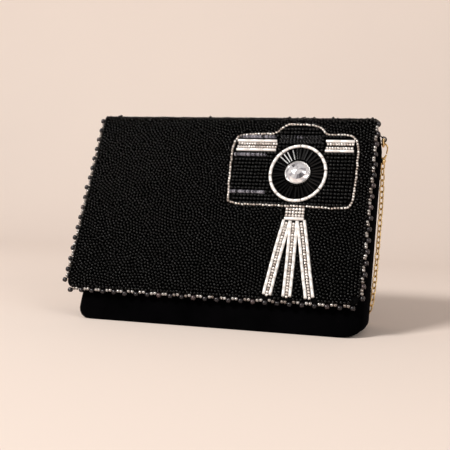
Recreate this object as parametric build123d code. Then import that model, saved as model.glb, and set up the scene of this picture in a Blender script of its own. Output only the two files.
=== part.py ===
"""An evening bag: a velvet pouch that stands leaning back, a stiff beaded flap that covers most of
its front, and a chain strap clipped to a D-ring at each side.

The frame has +Z up, +X to the bag's right as its front is seen, and +Y towards its back.
"""

from build123d import *
import math
import os

# ---- the pouch -------------------------------------------------------------------------------
POUCH_WIDTH = 162.0
POUCH_HEIGHT = 115.5
BASE_DEPTH = 48.0
MOUTH_DEPTH = 18.0
FRONT_LEAN = 27.5
CORNER_RADIUS = 7.0
VELVET = 1.0
BOARD = 1.2
BASE_BOARD = 1.6
LINING = 0.5
BINDING = 1.0

# ---- the flap: distances up the slope of the front, and layers counted out from the pouch ----
CREASE_HEIGHT = 117.0
FLAP_OFFSET = -4.0
FLAP_GAP = 2.9
FLAP_BOTTOM = 17.0
FLAP_BOARD_WIDTH = 167.6
FLAP_CLOTH_WIDTH = 171.0
FIELD_WIDTH = 169.0
FIELD_INSET = 1.0
FLAP_CORNER = 5.0
FLAP_CLOTH = 0.5
BEAD_LAYER = 1.5
CREASE_CLEARANCE = 0.2
BACK_MITRE = 25.0
ANCHOR_DROP = 14.0
ANCHOR_WIDTH = 152.0

# ---- the beads along the flap's edge ---------------------------------------------------------
RIM_BEAD = 2.6
RIM_PITCH = 6.75
EDGE_SEED = 1.9
EDGE_PAIR = 1.92

# ---- the magnetic snap -----------------------------------------------------------------------
SNAP_RISE = 35.0
SNAP_RADIUS = 7.0
SOCKET_HEIGHT = 1.6
SOCKET_RECESS = 1.2
POST_RADIUS = 2.8
POST_CLEARANCE = 0.6
STUD_DISC = 1.0
SNAP_FACE_GAP = 0.3
WASHER_RADIUS = 6.0
WASHER = 0.8

# ---- D-rings, clasps and chain ---------------------------------------------------------------
RING_X = 84.5
RING_Y = 73.5
RING_BAR_Z = 109.4
RING_HALF = 4.2
RING_WIRE = 1.5
RING_SWING = 8.0
TAB_WIDTH = 5.0
TAB_HOLE = 2.3
TAB_CLOTH = 0.75
CLASP_HEAD = 3.0
CLASP_WINDOW = 2.0
CLASP_HEAD_Z = 104.3
CLASP_THROAT = 1.3
CLASP_THROAT_Z = 100.3
CLASP_TAIL = 2.0
CLASP_TAIL_Z = 95.5
CLASP_THICKNESS = 2.0
GATE_LOW = 100.8
GATE_HIGH = 104.4
GATE_GAP = 0.35
GATE_OFFSET = 0.9
CHAIN_DIAMETER = 3.4
CHAIN_REST = CHAIN_DIAMETER / 2 + 0.05

# ---- the camera and tripod in beadwork, on the flap's face: X across, then up the slope ------
LENS_CENTRE = (43.3, 95.4)
LENS_RING_ACROSS = 16.2
LENS_RING_UP = 17.9
LENS_BUGLES = 26
LENS_BUGLE = 1.9
SPOKES = 36
SPOKE = 1.3
SPOKE_INNER = 8.2
SPOKE_GAP = 1.3
CRYSTAL_RADIUS = 7.0
CRYSTAL_HEIGHT = 4.2
SETTING_WALL = 0.7
SETTING_HEIGHT = 1.9
BODY_THICKNESS = 0.8
OUTLINE_WIDTH = 2.0
OUTLINE_HEIGHT = 1.6
BAR_BUGLE = 1.8
BAR_LOW = 110.6
BAR_HIGH = 116.6
LEG_BUGLE = 1.9
LEG_BUGLE_LENGTH = 5.6
LEG_SEEDS = 1.9

# ---- worked out from the above ---------------------------------------------------------------
FRONT_SLOPE = math.radians(FRONT_LEAN)
BACK_SLOPE = math.atan2(
    POUCH_HEIGHT * math.tan(FRONT_SLOPE) + MOUTH_DEPTH - BASE_DEPTH, POUCH_HEIGHT
)
STACK = VELVET + BOARD + LINING
FACE = FLAP_GAP + LINING + BOARD + FLAP_CLOTH + BEAD_LAYER
CREASE_RISE = (CREASE_HEIGHT - FLAP_GAP * math.sin(FRONT_SLOPE)) / math.cos(FRONT_SLOPE)
FRONT_CREASE_Y = CREASE_RISE * math.sin(FRONT_SLOPE) - FLAP_GAP * math.cos(FRONT_SLOPE)
BACK_CREASE_Y = BASE_DEPTH + CREASE_HEIGHT * math.tan(BACK_SLOPE)
BACK_CREASE_RISE = CREASE_HEIGHT / math.cos(BACK_SLOPE)

FRONT = Plane(
    origin=(0, 0, 0),
    x_dir=(1, 0, 0),
    z_dir=(0, -math.cos(FRONT_SLOPE), math.sin(FRONT_SLOPE)),
)
BACK = Plane(
    origin=(0, BASE_DEPTH, 0),
    x_dir=(-1, 0, 0),
    z_dir=(0, math.cos(BACK_SLOPE), -math.sin(BACK_SLOPE)),
)


# ---- helpers ---------------------------------------------------------------------------------
def front_y(height, inset):
    """Where the front's face, moved inwards by inset, is at a height."""
    return height * math.tan(FRONT_SLOPE) + inset / math.cos(FRONT_SLOPE)


def back_y(height, inset):
    """Where the back's face, moved inwards by inset, is at a height."""
    return BASE_DEPTH + height * math.tan(BACK_SLOPE) - inset / math.cos(BACK_SLOPE)


def across(points):
    """A solid with a side-view outline, long enough to cross the whole bag."""
    return extrude(Plane.YZ * Polygon(*points, align=None), amount=POUCH_WIDTH, both=True)


def between(front_inset, back_inset, low, high):
    """The space between the front and the back faces, each moved inwards, from low to high."""
    return across([
        (front_y(low, front_inset), low),
        (back_y(low, back_inset), low),
        (back_y(high, back_inset), high),
        (front_y(high, front_inset), high),
    ])


def front_slab(outer, inner):
    """A sheet parallel to the front face, between two depths."""
    return across([
        (front_y(0, outer), 0),
        (front_y(0, inner), 0),
        (front_y(POUCH_HEIGHT, inner), POUCH_HEIGHT),
        (front_y(POUCH_HEIGHT, outer), POUCH_HEIGHT),
    ])


def back_slab(outer, inner):
    """A sheet parallel to the back face, between two depths."""
    return across([
        (back_y(0, inner), 0),
        (back_y(0, outer), 0),
        (back_y(POUCH_HEIGHT, outer), POUCH_HEIGHT),
        (back_y(POUCH_HEIGHT, inner), POUCH_HEIGHT),
    ])


def outline(inset):
    """The pouch seen from the front, with round lower corners, as a solid through its depth."""
    height = POUCH_HEIGHT - inset
    face = Pos(0, inset + height / 2) * Rectangle(POUCH_WIDTH - 2 * inset, height)
    face = fillet(face.vertices().sort_by(Axis.Y)[:2], CORNER_RADIUS - inset)
    return extrude(Plane.XZ * face, amount=2 * POUCH_HEIGHT, both=True)


def block(low, high):
    """A box from its low corner to its high corner."""
    size = [b - a for a, b in zip(low, high)]
    middle = [(a + b) / 2 for a, b in zip(low, high)]
    return Pos(*middle) * Box(*size)


def on_flap(shape):
    """Moves a shape from the flap's own axes (across, up the slope, outwards) to the bag's."""
    return FRONT * Pos(FLAP_OFFSET, 0, 0) * shape


def rounded_sheet(width, bottom, top, low, high, corner):
    """A sheet of the flap, with round lower corners."""
    face = Pos(0, (bottom + top) / 2) * Rectangle(width, top - bottom)
    face = fillet(face.vertices().sort_by(Axis.Y)[:2], corner)
    return Pos(0, 0, low) * extrude(face, amount=high - low)


def layer_of(level):
    """The inner and outer distances of the flap's layers from the crease's own plane."""
    steps = [0.0, LINING, LINING + BOARD, LINING + BOARD + FLAP_CLOTH]
    steps.append(steps[-1] + BEAD_LAYER)
    return steps[level], steps[level + 1]


def tube_between(start, end, diameter):
    """A straight bugle bead between two points."""
    line = Edge.make_line(start, end)
    return sweep(Plane(origin=start, z_dir=line % 0) * Circle(diameter / 2), path=line)


def group(solids):
    """Several separate pieces kept together under one name."""
    return Compound(children=list(solids))


# ---- the pouch -------------------------------------------------------------------------------
def velvet_band(side):
    """The velvet gusset: side is -1 or 1 for a side wall, 0 for the base with its round corners."""
    band = (outline(0) - outline(VELVET)) & between(VELVET, VELVET, 0, POUCH_HEIGHT)
    tall = 2 * POUCH_HEIGHT
    if side == 0:
        return band & block((-tall, -tall, -1), (tall, tall, CORNER_RADIUS))
    return band & Pos(side * tall, 0, CORNER_RADIUS + tall) * Box(2 * tall, 2 * tall, 2 * tall)


def front_board():
    """The front stiffener, with a hole for the snap's washer."""
    board = outline(VELVET) & front_slab(VELVET, VELVET + BOARD)
    hole = on_flap(Pos(0, SNAP_RISE, -VELVET - BOARD) * Cylinder(WASHER_RADIUS + 0.1, 2 * WASHER))
    return board - hole


def base_board():
    """The stiffener on the bag's floor."""
    straight = POUCH_WIDTH / 2 - CORNER_RADIUS
    depth = VELVET + BOARD
    room = between(depth, depth, VELVET, VELVET + BASE_BOARD)
    return room & block((-straight, 0, 0), (straight, 2 * BASE_DEPTH, BASE_DEPTH))


def lining():
    """The satin lining, one sewn bag that is open at the top."""
    floor = VELVET + BASE_BOARD
    depth = VELVET + BOARD
    outside = outline(VELVET) & between(depth, depth, floor, POUCH_HEIGHT)
    inside = outline(VELVET + LINING) & between(STACK, STACK, floor + LINING, POUCH_HEIGHT)
    return outside - inside


def mouth_binding():
    """The velvet folded over the mouth's edges."""
    top = POUCH_HEIGHT + BINDING
    half = POUCH_WIDTH / 2
    hem = VELVET + LINING
    outside = between(0, 0, POUCH_HEIGHT, top) & block((-half, 0, 0), (half, 200, 200))
    inside = between(STACK, STACK, POUCH_HEIGHT, top)
    return outside - (inside & block((hem - half, 0, 0), (half - hem, 200, 200)))


def anchor(level, width):
    """The strip of the flap's cloth, or of its beads, that is sewn to the back below the crease."""
    low = 0.0 if level == 0 else FLAP_CLOTH
    high = FLAP_CLOTH if level == 0 else FLAP_CLOTH + BEAD_LAYER
    retreat = math.tan(math.radians(BACK_MITRE))
    top = BACK_CREASE_RISE - CREASE_CLEARANCE
    bottom = BACK_CREASE_RISE - ANCHOR_DROP
    side = Polygon((bottom, low), (top - low * retreat, low),
                   (top - high * retreat, high), (bottom, high), align=None)
    profile = Plane(origin=(0, 0, 0), x_dir=(0, 1, 0), z_dir=(1, 0, 0)) * side
    return Pos(FLAP_OFFSET, 0, 0) * BACK * extrude(profile, amount=width / 2, both=True)


def snap_socket():
    """The half of the magnetic snap on the pouch, with its recess."""
    disc = Pos(0, 0, SOCKET_HEIGHT / 2) * Cylinder(SNAP_RADIUS, SOCKET_HEIGHT)
    recess = Pos(0, 0, SOCKET_HEIGHT) * Cylinder(POST_RADIUS + POST_CLEARANCE, 2 * SOCKET_RECESS)
    return on_flap(Pos(0, SNAP_RISE, 0) * (disc - recess))


def snap_socket_washer():
    """The washer that holds the socket, in the front board's hole."""
    centre = -VELVET - BOARD + WASHER / 2
    return on_flap(Pos(0, SNAP_RISE, centre) * Cylinder(WASHER_RADIUS, WASHER))


# ---- rings, clasps and chain: built for the right side, and mirrored for the left ------------
def ring_tab():
    """A folded strip sewn to the gusset, with a loop for the ring's straight bar."""
    centre = (RING_X, RING_BAR_Z)
    outer = TAB_HOLE / 2 + TAB_CLOTH
    wall = POUCH_WIDTH / 2
    arm = Polygon((wall, RING_BAR_Z - outer / 2), (wall, POUCH_HEIGHT),
                  (wall + 2 * TAB_CLOTH, POUCH_HEIGHT), (RING_X + outer * 0.7, RING_BAR_Z + outer * 0.7),
                  (RING_X, RING_BAR_Z - outer * 0.6), align=None)
    profile = arm + Pos(*centre) * Circle(outer)
    profile = profile - Pos(*centre) * Circle(TAB_HOLE / 2)
    return Pos(0, RING_Y, 0) * extrude(Plane.XZ * profile, amount=TAB_WIDTH / 2, both=True)


def d_ring():
    """A wire ring with a straight bar at the top."""
    wire = RING_WIRE / 2
    bar = Rot(90, 0, 0) * Cylinder(wire, 2 * RING_HALF)
    round_part = Torus(RING_HALF, wire)
    round_part = Rot(0, 90, 0) * round_part
    low_half = Pos(0, 0, -2 * RING_HALF) * Box(4 * RING_HALF, 4 * RING_HALF, 4 * RING_HALF)
    knees = [Pos(0, y, 0) * Sphere(wire) for y in (-RING_HALF, RING_HALF)]
    ring = bar + (round_part & low_half) + knees[0] + knees[1]
    return Pos(RING_X, RING_Y, RING_BAR_Z) * ring


def clasp_shape():
    """The whole clasp as one flat piece with a window, before its gate is cut free."""
    head = Pos(0, CLASP_HEAD_Z) * Circle(CLASP_HEAD)
    tail = Pos(0, CLASP_TAIL_Z) * Circle(CLASP_TAIL)
    window_top = Pos(0, CLASP_HEAD_Z) * Circle(CLASP_WINDOW)
    throat = Pos(0, CLASP_THROAT_Z) * Circle(CLASP_THROAT)
    solid_face = make_hull((head + tail).edges())
    window = make_hull((window_top + throat).edges())
    flat = extrude(Plane.XZ * (solid_face - window), amount=CLASP_THICKNESS / 2, both=True)
    return Pos(RING_X, RING_Y, 0) * flat


def gate_space(gap):
    """The stretch of the clasp's outer wall that the gate takes, grown by a gap."""
    low = (RING_X + GATE_OFFSET - gap, RING_Y - CLASP_THICKNESS, GATE_LOW - gap)
    high = (RING_X + 2 * CLASP_HEAD, RING_Y + CLASP_THICKNESS, GATE_HIGH + gap)
    return block(low, high)


def clasp():
    """The clasp's hook and tail."""
    return clasp_shape() - gate_space(GATE_GAP)


def gate():
    """The sprung lever that closes the clasp."""
    return clasp_shape() & gate_space(0)


def other_side(shape):
    """The same piece on the bag's left."""
    return mirror(shape, about=Plane.YZ)


def chain_route():
    """The strap's route: down the right side, in five rows on the surface, and up the left side."""
    z = CHAIN_REST
    start = CLASP_TAIL_Z - CLASP_TAIL
    return [
        (RING_X, RING_Y, start),
        (84.4, 76.2, 75.0),
        (84.2, 68.6, 50.0),
        (84.0, 58.8, 26.0),
        (82.0, 54.5, z),
        (59.0, 59.5, z),
        (20.0, 56.5, z),
        (-22.0, 60.8, z),
        (-53.0, 60.2, z),
        (-77.0, 61.0, z),
        (-84.0, 73.1, z),
        (-77.0, 85.2, z),
        (-50.0, 86.4, z),
        (-9.0, 88.8, z),
        (29.0, 84.6, z),
        (52.0, 85.0, z),
        (59.0, 97.1, z),
        (52.0, 109.2, z),
        (27.0, 110.4, z),
        (-11.0, 106.6, z),
        (-49.0, 110.0, z),
        (-73.0, 109.0, z),
        (-80.0, 121.1, z),
        (-73.0, 133.2, z),
        (-47.0, 134.4, z),
        (-9.0, 136.6, z),
        (18.0, 132.8, z),
        (40.0, 133.0, z),
        (47.0, 145.1, z),
        (40.0, 157.2, z),
        (14.0, 157.6, z),
        (-26.0, 154.4, z),
        (-64.0, 156.8, z),
        (-86.0, 149.0, z),
        (-93.0, 126.0, z),
        (-94.5, 99.0, z),
        (-90.5, 78.0, z),
        (-85.6, 59.6, z),
        (-84.4, 54.2, 19.0),
        (-84.2, 61.6, 40.0),
        (-84.4, 70.4, 60.0),
        (-84.4, 75.6, 77.0),
        (-RING_X, RING_Y, start),
    ]


def corner_radii(points):
    """At each inner point, the largest arc that leaves a tenth of the shorter run straight."""
    radii = []
    for before, here, after in zip(points, points[1:], points[2:]):
        arriving = Vector(*here) - Vector(*before)
        leaving = Vector(*after) - Vector(*here)
        turn = math.radians(arriving.get_angle(leaving))
        shorter = min(arriving.length, leaving.length)
        radii.append(0.45 * shorter / math.tan(turn / 2))
        print(f"corner {here}: turn {math.degrees(turn):.0f}, radius {radii[-1]:.1f}")
    return radii


def chain_strap():
    """The strap as a plain tube along its route."""
    points = chain_route()
    path = FilletPolyline(*points, radius=corner_radii(points))
    section = Plane(origin=path @ 0, z_dir=path % 0) * Circle(CHAIN_DIAMETER / 2)
    tube = sweep(section, path=path)
    expected = path.length * math.pi * CHAIN_DIAMETER ** 2 / 4
    print(f"strap length {path.length:.1f}, volume {tube.volume:.1f}, expected {expected:.1f}")
    return tube


# ---- the flap's layers -----------------------------------------------------------------------
def spine_layer(level, width):
    """A layer of the strip between the two creases, with its back end mitred."""
    low, high = layer_of(level)
    retreat = math.tan(math.radians(BACK_MITRE))
    front = FRONT_CREASE_Y + CREASE_CLEARANCE
    back = BACK_CREASE_Y - CREASE_CLEARANCE
    side = Polygon(
        (front, CREASE_HEIGHT + low), (back - low * retreat, CREASE_HEIGHT + low),
        (back - high * retreat, CREASE_HEIGHT + high), (front, CREASE_HEIGHT + high), align=None)
    return Pos(FLAP_OFFSET, 0, 0) * extrude(Plane.YZ * side, amount=width / 2, both=True)


def flap_layer(level, width, bottom):
    """A layer of the flap's front."""
    low, high = layer_of(level)
    top = CREASE_RISE - CREASE_CLEARANCE
    return rounded_sheet(width, bottom, top, FLAP_GAP + low, FLAP_GAP + high, FLAP_CORNER)


def flap_board():
    """The flap's stiffener, with a hole for the snap's washer."""
    inset = (FLAP_CLOTH_WIDTH - FLAP_BOARD_WIDTH) / 2
    board = flap_layer(1, FLAP_BOARD_WIDTH, FLAP_BOTTOM + inset)
    hole = Pos(0, SNAP_RISE, FLAP_GAP + LINING) * Cylinder(WASHER_RADIUS + 0.1, 2 * WASHER)
    return on_flap(board - hole)


def snap_stud():
    """The half of the snap on the flap's lining: a disc and its post."""
    disc = Pos(0, 0, FLAP_GAP - STUD_DISC / 2) * Cylinder(SNAP_RADIUS, STUD_DISC)
    tip = SOCKET_HEIGHT - SOCKET_RECESS + SNAP_FACE_GAP
    length = FLAP_GAP - STUD_DISC - tip
    post = Pos(0, 0, tip + length / 2) * Cylinder(POST_RADIUS, length)
    return on_flap(Pos(0, SNAP_RISE, 0) * (disc + post))


def snap_stud_washer():
    """The washer that holds the stud, in the flap board's hole."""
    centre = FLAP_GAP + LINING + WASHER / 2
    return on_flap(Pos(0, SNAP_RISE, centre) * Cylinder(WASHER_RADIUS, WASHER))


# ---- the edge beads --------------------------------------------------------------------------
def edge_stops(start, end):
    """Evenly spaced stops near the rim's pitch, from start to end."""
    count = round((end - start) / RIM_PITCH)
    step = (end - start) / count
    return [start + step * index for index in range(count + 1)]


def edge_row(start, end, placed):
    """One side's row of edge beads: a large bead at each stop and a pair of seed beads between."""
    level = FACE - BEAD_LAYER
    stops = edge_stops(start, end)
    pieces = []
    for stop in stops:
        pieces.append(Pos(*placed(stop, RIM_BEAD / 2), level) * Sphere(RIM_BEAD / 2))
    for before, after in zip(stops, stops[1:]):
        for step in (-EDGE_PAIR / 2, EDGE_PAIR / 2):
            place = placed((before + after) / 2 + step, EDGE_SEED / 2)
            pieces.append(Pos(*place, level) * Sphere(EDGE_SEED / 2))
    return on_flap(group(pieces))


def side_beads(side):
    """The beads down one side of the flap."""
    edge = FLAP_CLOTH_WIDTH / 2
    low = FLAP_BOTTOM + FLAP_CORNER
    return edge_row(low, CREASE_RISE - RIM_BEAD, lambda rise, out: (side * (edge + out), rise))


def bottom_beads():
    """The beads along the flap's lower edge."""
    reach = FLAP_CLOTH_WIDTH / 2 - FLAP_CORNER
    return edge_row(-reach, reach, lambda x, out: (x, FLAP_BOTTOM - out))


# ---- the camera in beadwork ------------------------------------------------------------------
def camera_profile(inset):
    """The camera's outline, moved inwards: a body with round shoulders and a viewfinder hump."""
    body = Pos(39.6, 97.8) * RectangleRounded(77.4 - 2 * inset, 49.6 - 2 * inset, 5.0 - inset / 2)
    low = 112.0
    high = 128.8 - inset
    hump = Polygon((27.6 + inset, low), (58.2 - inset, low), (54.4 - inset, high),
                   (31.6 + inset, high), align=None)
    return body + hump


def lens_opening():
    """The upright oval that the lens takes out of the camera's front."""
    margin = LENS_BUGLE / 2 + 0.1
    return Ellipse(LENS_RING_ACROSS + margin, LENS_RING_UP + margin)


def camera_body():
    """The sequinned body, with a round opening for the lens."""
    lens = Pos(*LENS_CENTRE) * lens_opening()
    face = camera_profile(OUTLINE_WIDTH) - lens
    return on_flap(Pos(0, 0, FACE) * extrude(face, amount=BODY_THICKNESS))


def camera_outline():
    """The row of seed beads round the camera."""
    lens = Pos(*LENS_CENTRE) * lens_opening()
    face = camera_profile(0) - camera_profile(OUTLINE_WIDTH) - lens
    return on_flap(Pos(0, 0, FACE) * extrude(face, amount=OUTLINE_HEIGHT))


def bar_beads(left, right):
    """Two bright bugle bars and the seed beads between them, in one shoulder of the camera."""
    level = FACE + BODY_THICKNESS + BAR_BUGLE / 2
    pieces = [
        tube_between((left, rise, level), (right, rise, level), BAR_BUGLE) for rise in (BAR_LOW, BAR_HIGH)
    ]
    strip = Box(right - left, BAR_HIGH - BAR_LOW - BAR_BUGLE - 0.4, LEG_SEEDS)
    middle = FACE + BODY_THICKNESS + LEG_SEEDS / 2
    pieces.append(Pos((left + right) / 2, (BAR_LOW + BAR_HIGH) / 2, middle) * strip)
    return on_flap(group(pieces))


def sequin_rows():
    """The brighter rows of sequins above and below the left lens side."""
    level = FACE + BODY_THICKNESS
    rows = [(5.0, 22.5, 106.9), (5.0, 24.0, 82.4)]
    pieces = []
    for left, right, rise in rows:
        pieces.append(block((left, rise - 1.2, level), (right, rise + 1.2, level + 0.8)))
    return on_flap(group(pieces))


def lens_ring():
    """Bugle beads end to end round the lens."""
    level = FACE + LENS_BUGLE / 2
    pieces = []
    step = 2 * math.pi / LENS_BUGLES
    for index in range(LENS_BUGLES):
        ends = []
        for turn in (index * step + 0.06 * step, (index + 1) * step - 0.06 * step):
            x = LENS_CENTRE[0] + LENS_RING_ACROSS * math.cos(turn)
            y = LENS_CENTRE[1] + LENS_RING_UP * math.sin(turn)
            ends.append((x, y, level))
        pieces.append(tube_between(ends[0], ends[1], LENS_BUGLE))
    return on_flap(group(pieces))


def lens_spokes():
    """Black bugle beads laid like spokes between the crystal and the ring."""
    level = FACE + SPOKE / 2
    inner = (SPOKE_INNER, SPOKE_INNER)
    outer = (LENS_RING_ACROSS - SPOKE_GAP, LENS_RING_UP - SPOKE_GAP)
    pieces = []
    for index in range(SPOKES):
        turn = 2 * math.pi * index / SPOKES
        ends = []
        for wide, up in (inner, outer):
            x = LENS_CENTRE[0] + wide * math.cos(turn)
            y = LENS_CENTRE[1] + up * math.sin(turn)
            ends.append((x, y, level))
        pieces.append(tube_between(ends[0], ends[1], SPOKE))
    return on_flap(group(pieces))


def crystal_setting():
    """The cup that holds the crystal."""
    cup = Cylinder(CRYSTAL_RADIUS + SETTING_WALL, SETTING_HEIGHT)
    seat = Pos(0, 0, SETTING_WALL) * Cylinder(CRYSTAL_RADIUS + 0.05, SETTING_HEIGHT)
    return on_flap(Pos(*LENS_CENTRE, FACE + SETTING_HEIGHT / 2) * (cup - seat))


def lens_crystal():
    """A faceted round crystal: a straight girdle and a crown that narrows to a flat table."""
    girdle = RegularPolygon(CRYSTAL_RADIUS, 16)
    table = Pos(0, 0, CRYSTAL_HEIGHT - 1.4) * RegularPolygon(CRYSTAL_RADIUS * 0.55, 8)
    stone = extrude(girdle, amount=1.4) + Pos(0, 0, 1.4) * loft([girdle.face(), table.face()])
    return on_flap(Pos(*LENS_CENTRE, FACE + SETTING_WALL) * stone)


# ---- the tripod in beadwork ------------------------------------------------------------------
def tripod_neck():
    """Three rows of seed beads and a bugle across them, under the camera."""
    level = FACE + LEG_SEEDS / 2
    rows = [Pos(44.6, rise, level) * Box(11.0, 1.9, LEG_SEEDS) for rise in (71.9, 69.9, 67.9)]
    bar = tube_between((38.9, 65.9, level), (50.3, 65.9, level), LEG_BUGLE)
    return on_flap(group(rows + [bar]))


def tripod_leg(top, foot):
    """A leg: a row of bugle beads along each side, and a row of seed beads between them."""
    start = Vector(*top)
    along = Vector(*foot) - start
    length = along.length
    along = along / length
    side = Vector(-along.Y, along.X)
    count = int(length // (LEG_BUGLE_LENGTH + 0.3))
    pitch = length / count
    level = FACE + LEG_BUGLE / 2
    pieces = []
    for index in range(count):
        for reach in (-LEG_BUGLE, LEG_BUGLE):
            near = start + along * (index * pitch + 0.15) + side * reach
            far = start + along * ((index + 1) * pitch - 0.15) + side * reach
            pieces.append(tube_between((near.X, near.Y, level), (far.X, far.Y, level), LEG_BUGLE))
    middle = start + along * (length / 2)
    strip = Rot(0, 0, math.degrees(math.atan2(along.Y, along.X))) * Box(length, 1.7, LEG_SEEDS)
    pieces.append(Pos(middle.X, middle.Y, FACE + LEG_SEEDS / 2) * strip)
    return on_flap(group(pieces))


# ---- the whole bag ---------------------------------------------------------------------------
def pouch_nodes():
    """Every piece of the pouch."""
    return {
        "front_panel": outline(0) & front_slab(0, VELVET),
        "back_panel": outline(0) & back_slab(0, VELVET),
        "left_gusset": velvet_band(-1),
        "right_gusset": velvet_band(1),
        "base_panel": velvet_band(0),
        "front_board": front_board(),
        "back_board": outline(VELVET) & back_slab(VELVET, VELVET + BOARD),
        "base_board": base_board(),
        "lining": lining(),
        "mouth_binding": mouth_binding(),
        "anchor_cloth": anchor(0, ANCHOR_WIDTH),
        "anchor_beads": anchor(1, ANCHOR_WIDTH - 2),
        "snap_socket": snap_socket(),
        "snap_socket_washer": snap_socket_washer(),
    }


def strap_nodes():
    """The tabs, rings, clasps, gates and the chain."""
    right = {"ring_tab": ring_tab(), "ring": d_ring(), "clasp": clasp(), "gate": gate()}
    nodes = {"right_" + name: shape for name, shape in right.items()}
    nodes.update({"left_" + name: other_side(shape) for name, shape in right.items()})
    nodes["chain_strap"] = chain_strap()
    return nodes


def flap_nodes():
    """The layers of the flap and its top strip, the snap's stud and the edge beads."""
    return {
        "spine_lining": spine_layer(0, FLAP_BOARD_WIDTH),
        "spine_board": spine_layer(1, FLAP_BOARD_WIDTH),
        "spine_cloth": spine_layer(2, FLAP_CLOTH_WIDTH),
        "spine_beads": spine_layer(3, FLAP_CLOTH_WIDTH),
        "flap_lining": on_flap(flap_layer(0, FLAP_BOARD_WIDTH, FLAP_BOTTOM + 1)),
        "flap_board": flap_board(),
        "flap_cloth": on_flap(flap_layer(2, FLAP_CLOTH_WIDTH, FLAP_BOTTOM)),
        "bead_field": on_flap(flap_layer(3, FIELD_WIDTH, FLAP_BOTTOM + FIELD_INSET)),
        "edge_beads_left": side_beads(-1),
        "edge_beads_right": side_beads(1),
        "edge_beads_bottom": bottom_beads(),
        "snap_stud": snap_stud(),
        "snap_stud_washer": snap_stud_washer(),
    }


def motif_nodes():
    """The camera and its tripod."""
    return {
        "camera_body": camera_body(),
        "camera_outline": camera_outline(),
        "left_bar_beads": bar_beads(5.0, 27.2),
        "right_bar_beads": bar_beads(59.2, 74.6),
        "sequin_rows": sequin_rows(),
        "lens_ring": lens_ring(),
        "lens_spokes": lens_spokes(),
        "crystal_setting": crystal_setting(),
        "lens_crystal": lens_crystal(),
        "tripod_neck": tripod_neck(),
        "tripod_left_leg": tripod_leg((39.6, 64.4), (35.0, 20.0)),
        "tripod_middle_leg": tripod_leg((45.3, 60.4), (45.9, 20.0)),
        "tripod_right_leg": tripod_leg((51.0, 64.4), (58.6, 20.0)),
    }


ON_STRAP = ("chain_strap", "left_clasp", "right_clasp", "left_gate", "right_gate")


def all_nodes():
    """Every piece by name, moved so that the origin is under the middle of the bag, at its base."""
    nodes = {**pouch_nodes(), **strap_nodes(), **flap_nodes(), **motif_nodes()}
    boxes = [shape.bounding_box() for name, shape in nodes.items() if name not in ON_STRAP]
    aside = -(min(box.min.X for box in boxes) + max(box.max.X for box in boxes)) / 2
    back = -(min(box.min.Y for box in boxes) + max(box.max.Y for box in boxes)) / 2
    print(f"shift {aside:.4f} {back:.4f}")
    return {name: Pos(aside, back, 0) * shape for name, shape in nodes.items()}


if __name__ == "__main__":
    os.makedirs("parts", exist_ok=True)
    for name, shape in all_nodes().items():
        export_step(shape, f"parts/{name}.step")
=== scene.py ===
"""An evening bag: a velvet pouch that stands leaning back, a stiff flap covered in seed beads with a
camera on a tripod in brighter beadwork, and a chain strap clipped to a D-ring at each side.

Lengths are in millimetres until a mesh is made, in the bag's own frame: X to the bag's right as its
front is seen, Y to its back, Z up.
"""

import math

import bpy
import bmesh
import numpy as np
from mathutils import Matrix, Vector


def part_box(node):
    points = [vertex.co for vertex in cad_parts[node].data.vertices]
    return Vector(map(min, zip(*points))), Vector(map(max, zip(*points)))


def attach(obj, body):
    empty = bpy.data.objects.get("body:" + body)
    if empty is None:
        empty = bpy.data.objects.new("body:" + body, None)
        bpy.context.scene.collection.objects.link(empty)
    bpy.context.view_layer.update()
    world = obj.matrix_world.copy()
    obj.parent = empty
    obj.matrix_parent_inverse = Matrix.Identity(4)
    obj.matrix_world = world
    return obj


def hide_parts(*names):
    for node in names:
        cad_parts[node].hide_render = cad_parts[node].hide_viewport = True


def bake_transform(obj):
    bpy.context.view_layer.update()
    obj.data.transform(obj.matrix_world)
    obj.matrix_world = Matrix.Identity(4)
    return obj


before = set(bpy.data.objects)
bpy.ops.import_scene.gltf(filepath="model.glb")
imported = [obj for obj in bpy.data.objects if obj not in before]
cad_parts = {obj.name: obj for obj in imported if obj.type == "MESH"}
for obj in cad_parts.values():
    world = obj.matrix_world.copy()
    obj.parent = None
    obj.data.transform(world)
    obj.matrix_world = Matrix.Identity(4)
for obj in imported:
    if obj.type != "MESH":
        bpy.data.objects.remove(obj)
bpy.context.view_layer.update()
MM = 0.001
RNG = np.random.default_rng(12)

# ---- the bag's sizes ----
FOOT_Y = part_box("front_panel")[0].y / MM
MIDDLE_X = (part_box("front_panel")[0].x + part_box("front_panel")[1].x) / 2 / MM
POUCH_HALF = (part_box("front_panel")[1].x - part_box("front_panel")[0].x) / 2 / MM
FOOT = np.array([MIDDLE_X, FOOT_Y, 0.0])
POUCH_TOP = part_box("front_panel")[1].z / MM
BASE_DEPTH = 48.0
MOUTH_DEPTH = 18.0
FRONT_SLOPE = math.radians(27.5)
BACK_SLOPE = math.atan2(POUCH_TOP * math.tan(FRONT_SLOPE) + MOUTH_DEPTH - BASE_DEPTH, POUCH_TOP)
PANEL_CORNER = 7.0
RING_POINTS = 240
BULGE = 3.7
FLAP_GAP = 2.9
CORE = 2.2
ANCHOR_CLOTH = 0.5
EDGE_SHARE = 1.9
CREASE_Z = 117.0
FLAP_OFFSET = -4.0
FLAP_HALF = 85.5
FLAP_BOTTOM = 17.0
FIELD_HALF = 84.6
ANCHOR_DROP = 14.0
ANCHOR_HALF = 76.0
SNAP_RISE = 35.0
FRONT_ROLL = 3.1
BACK_ROLL = 2.3

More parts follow.
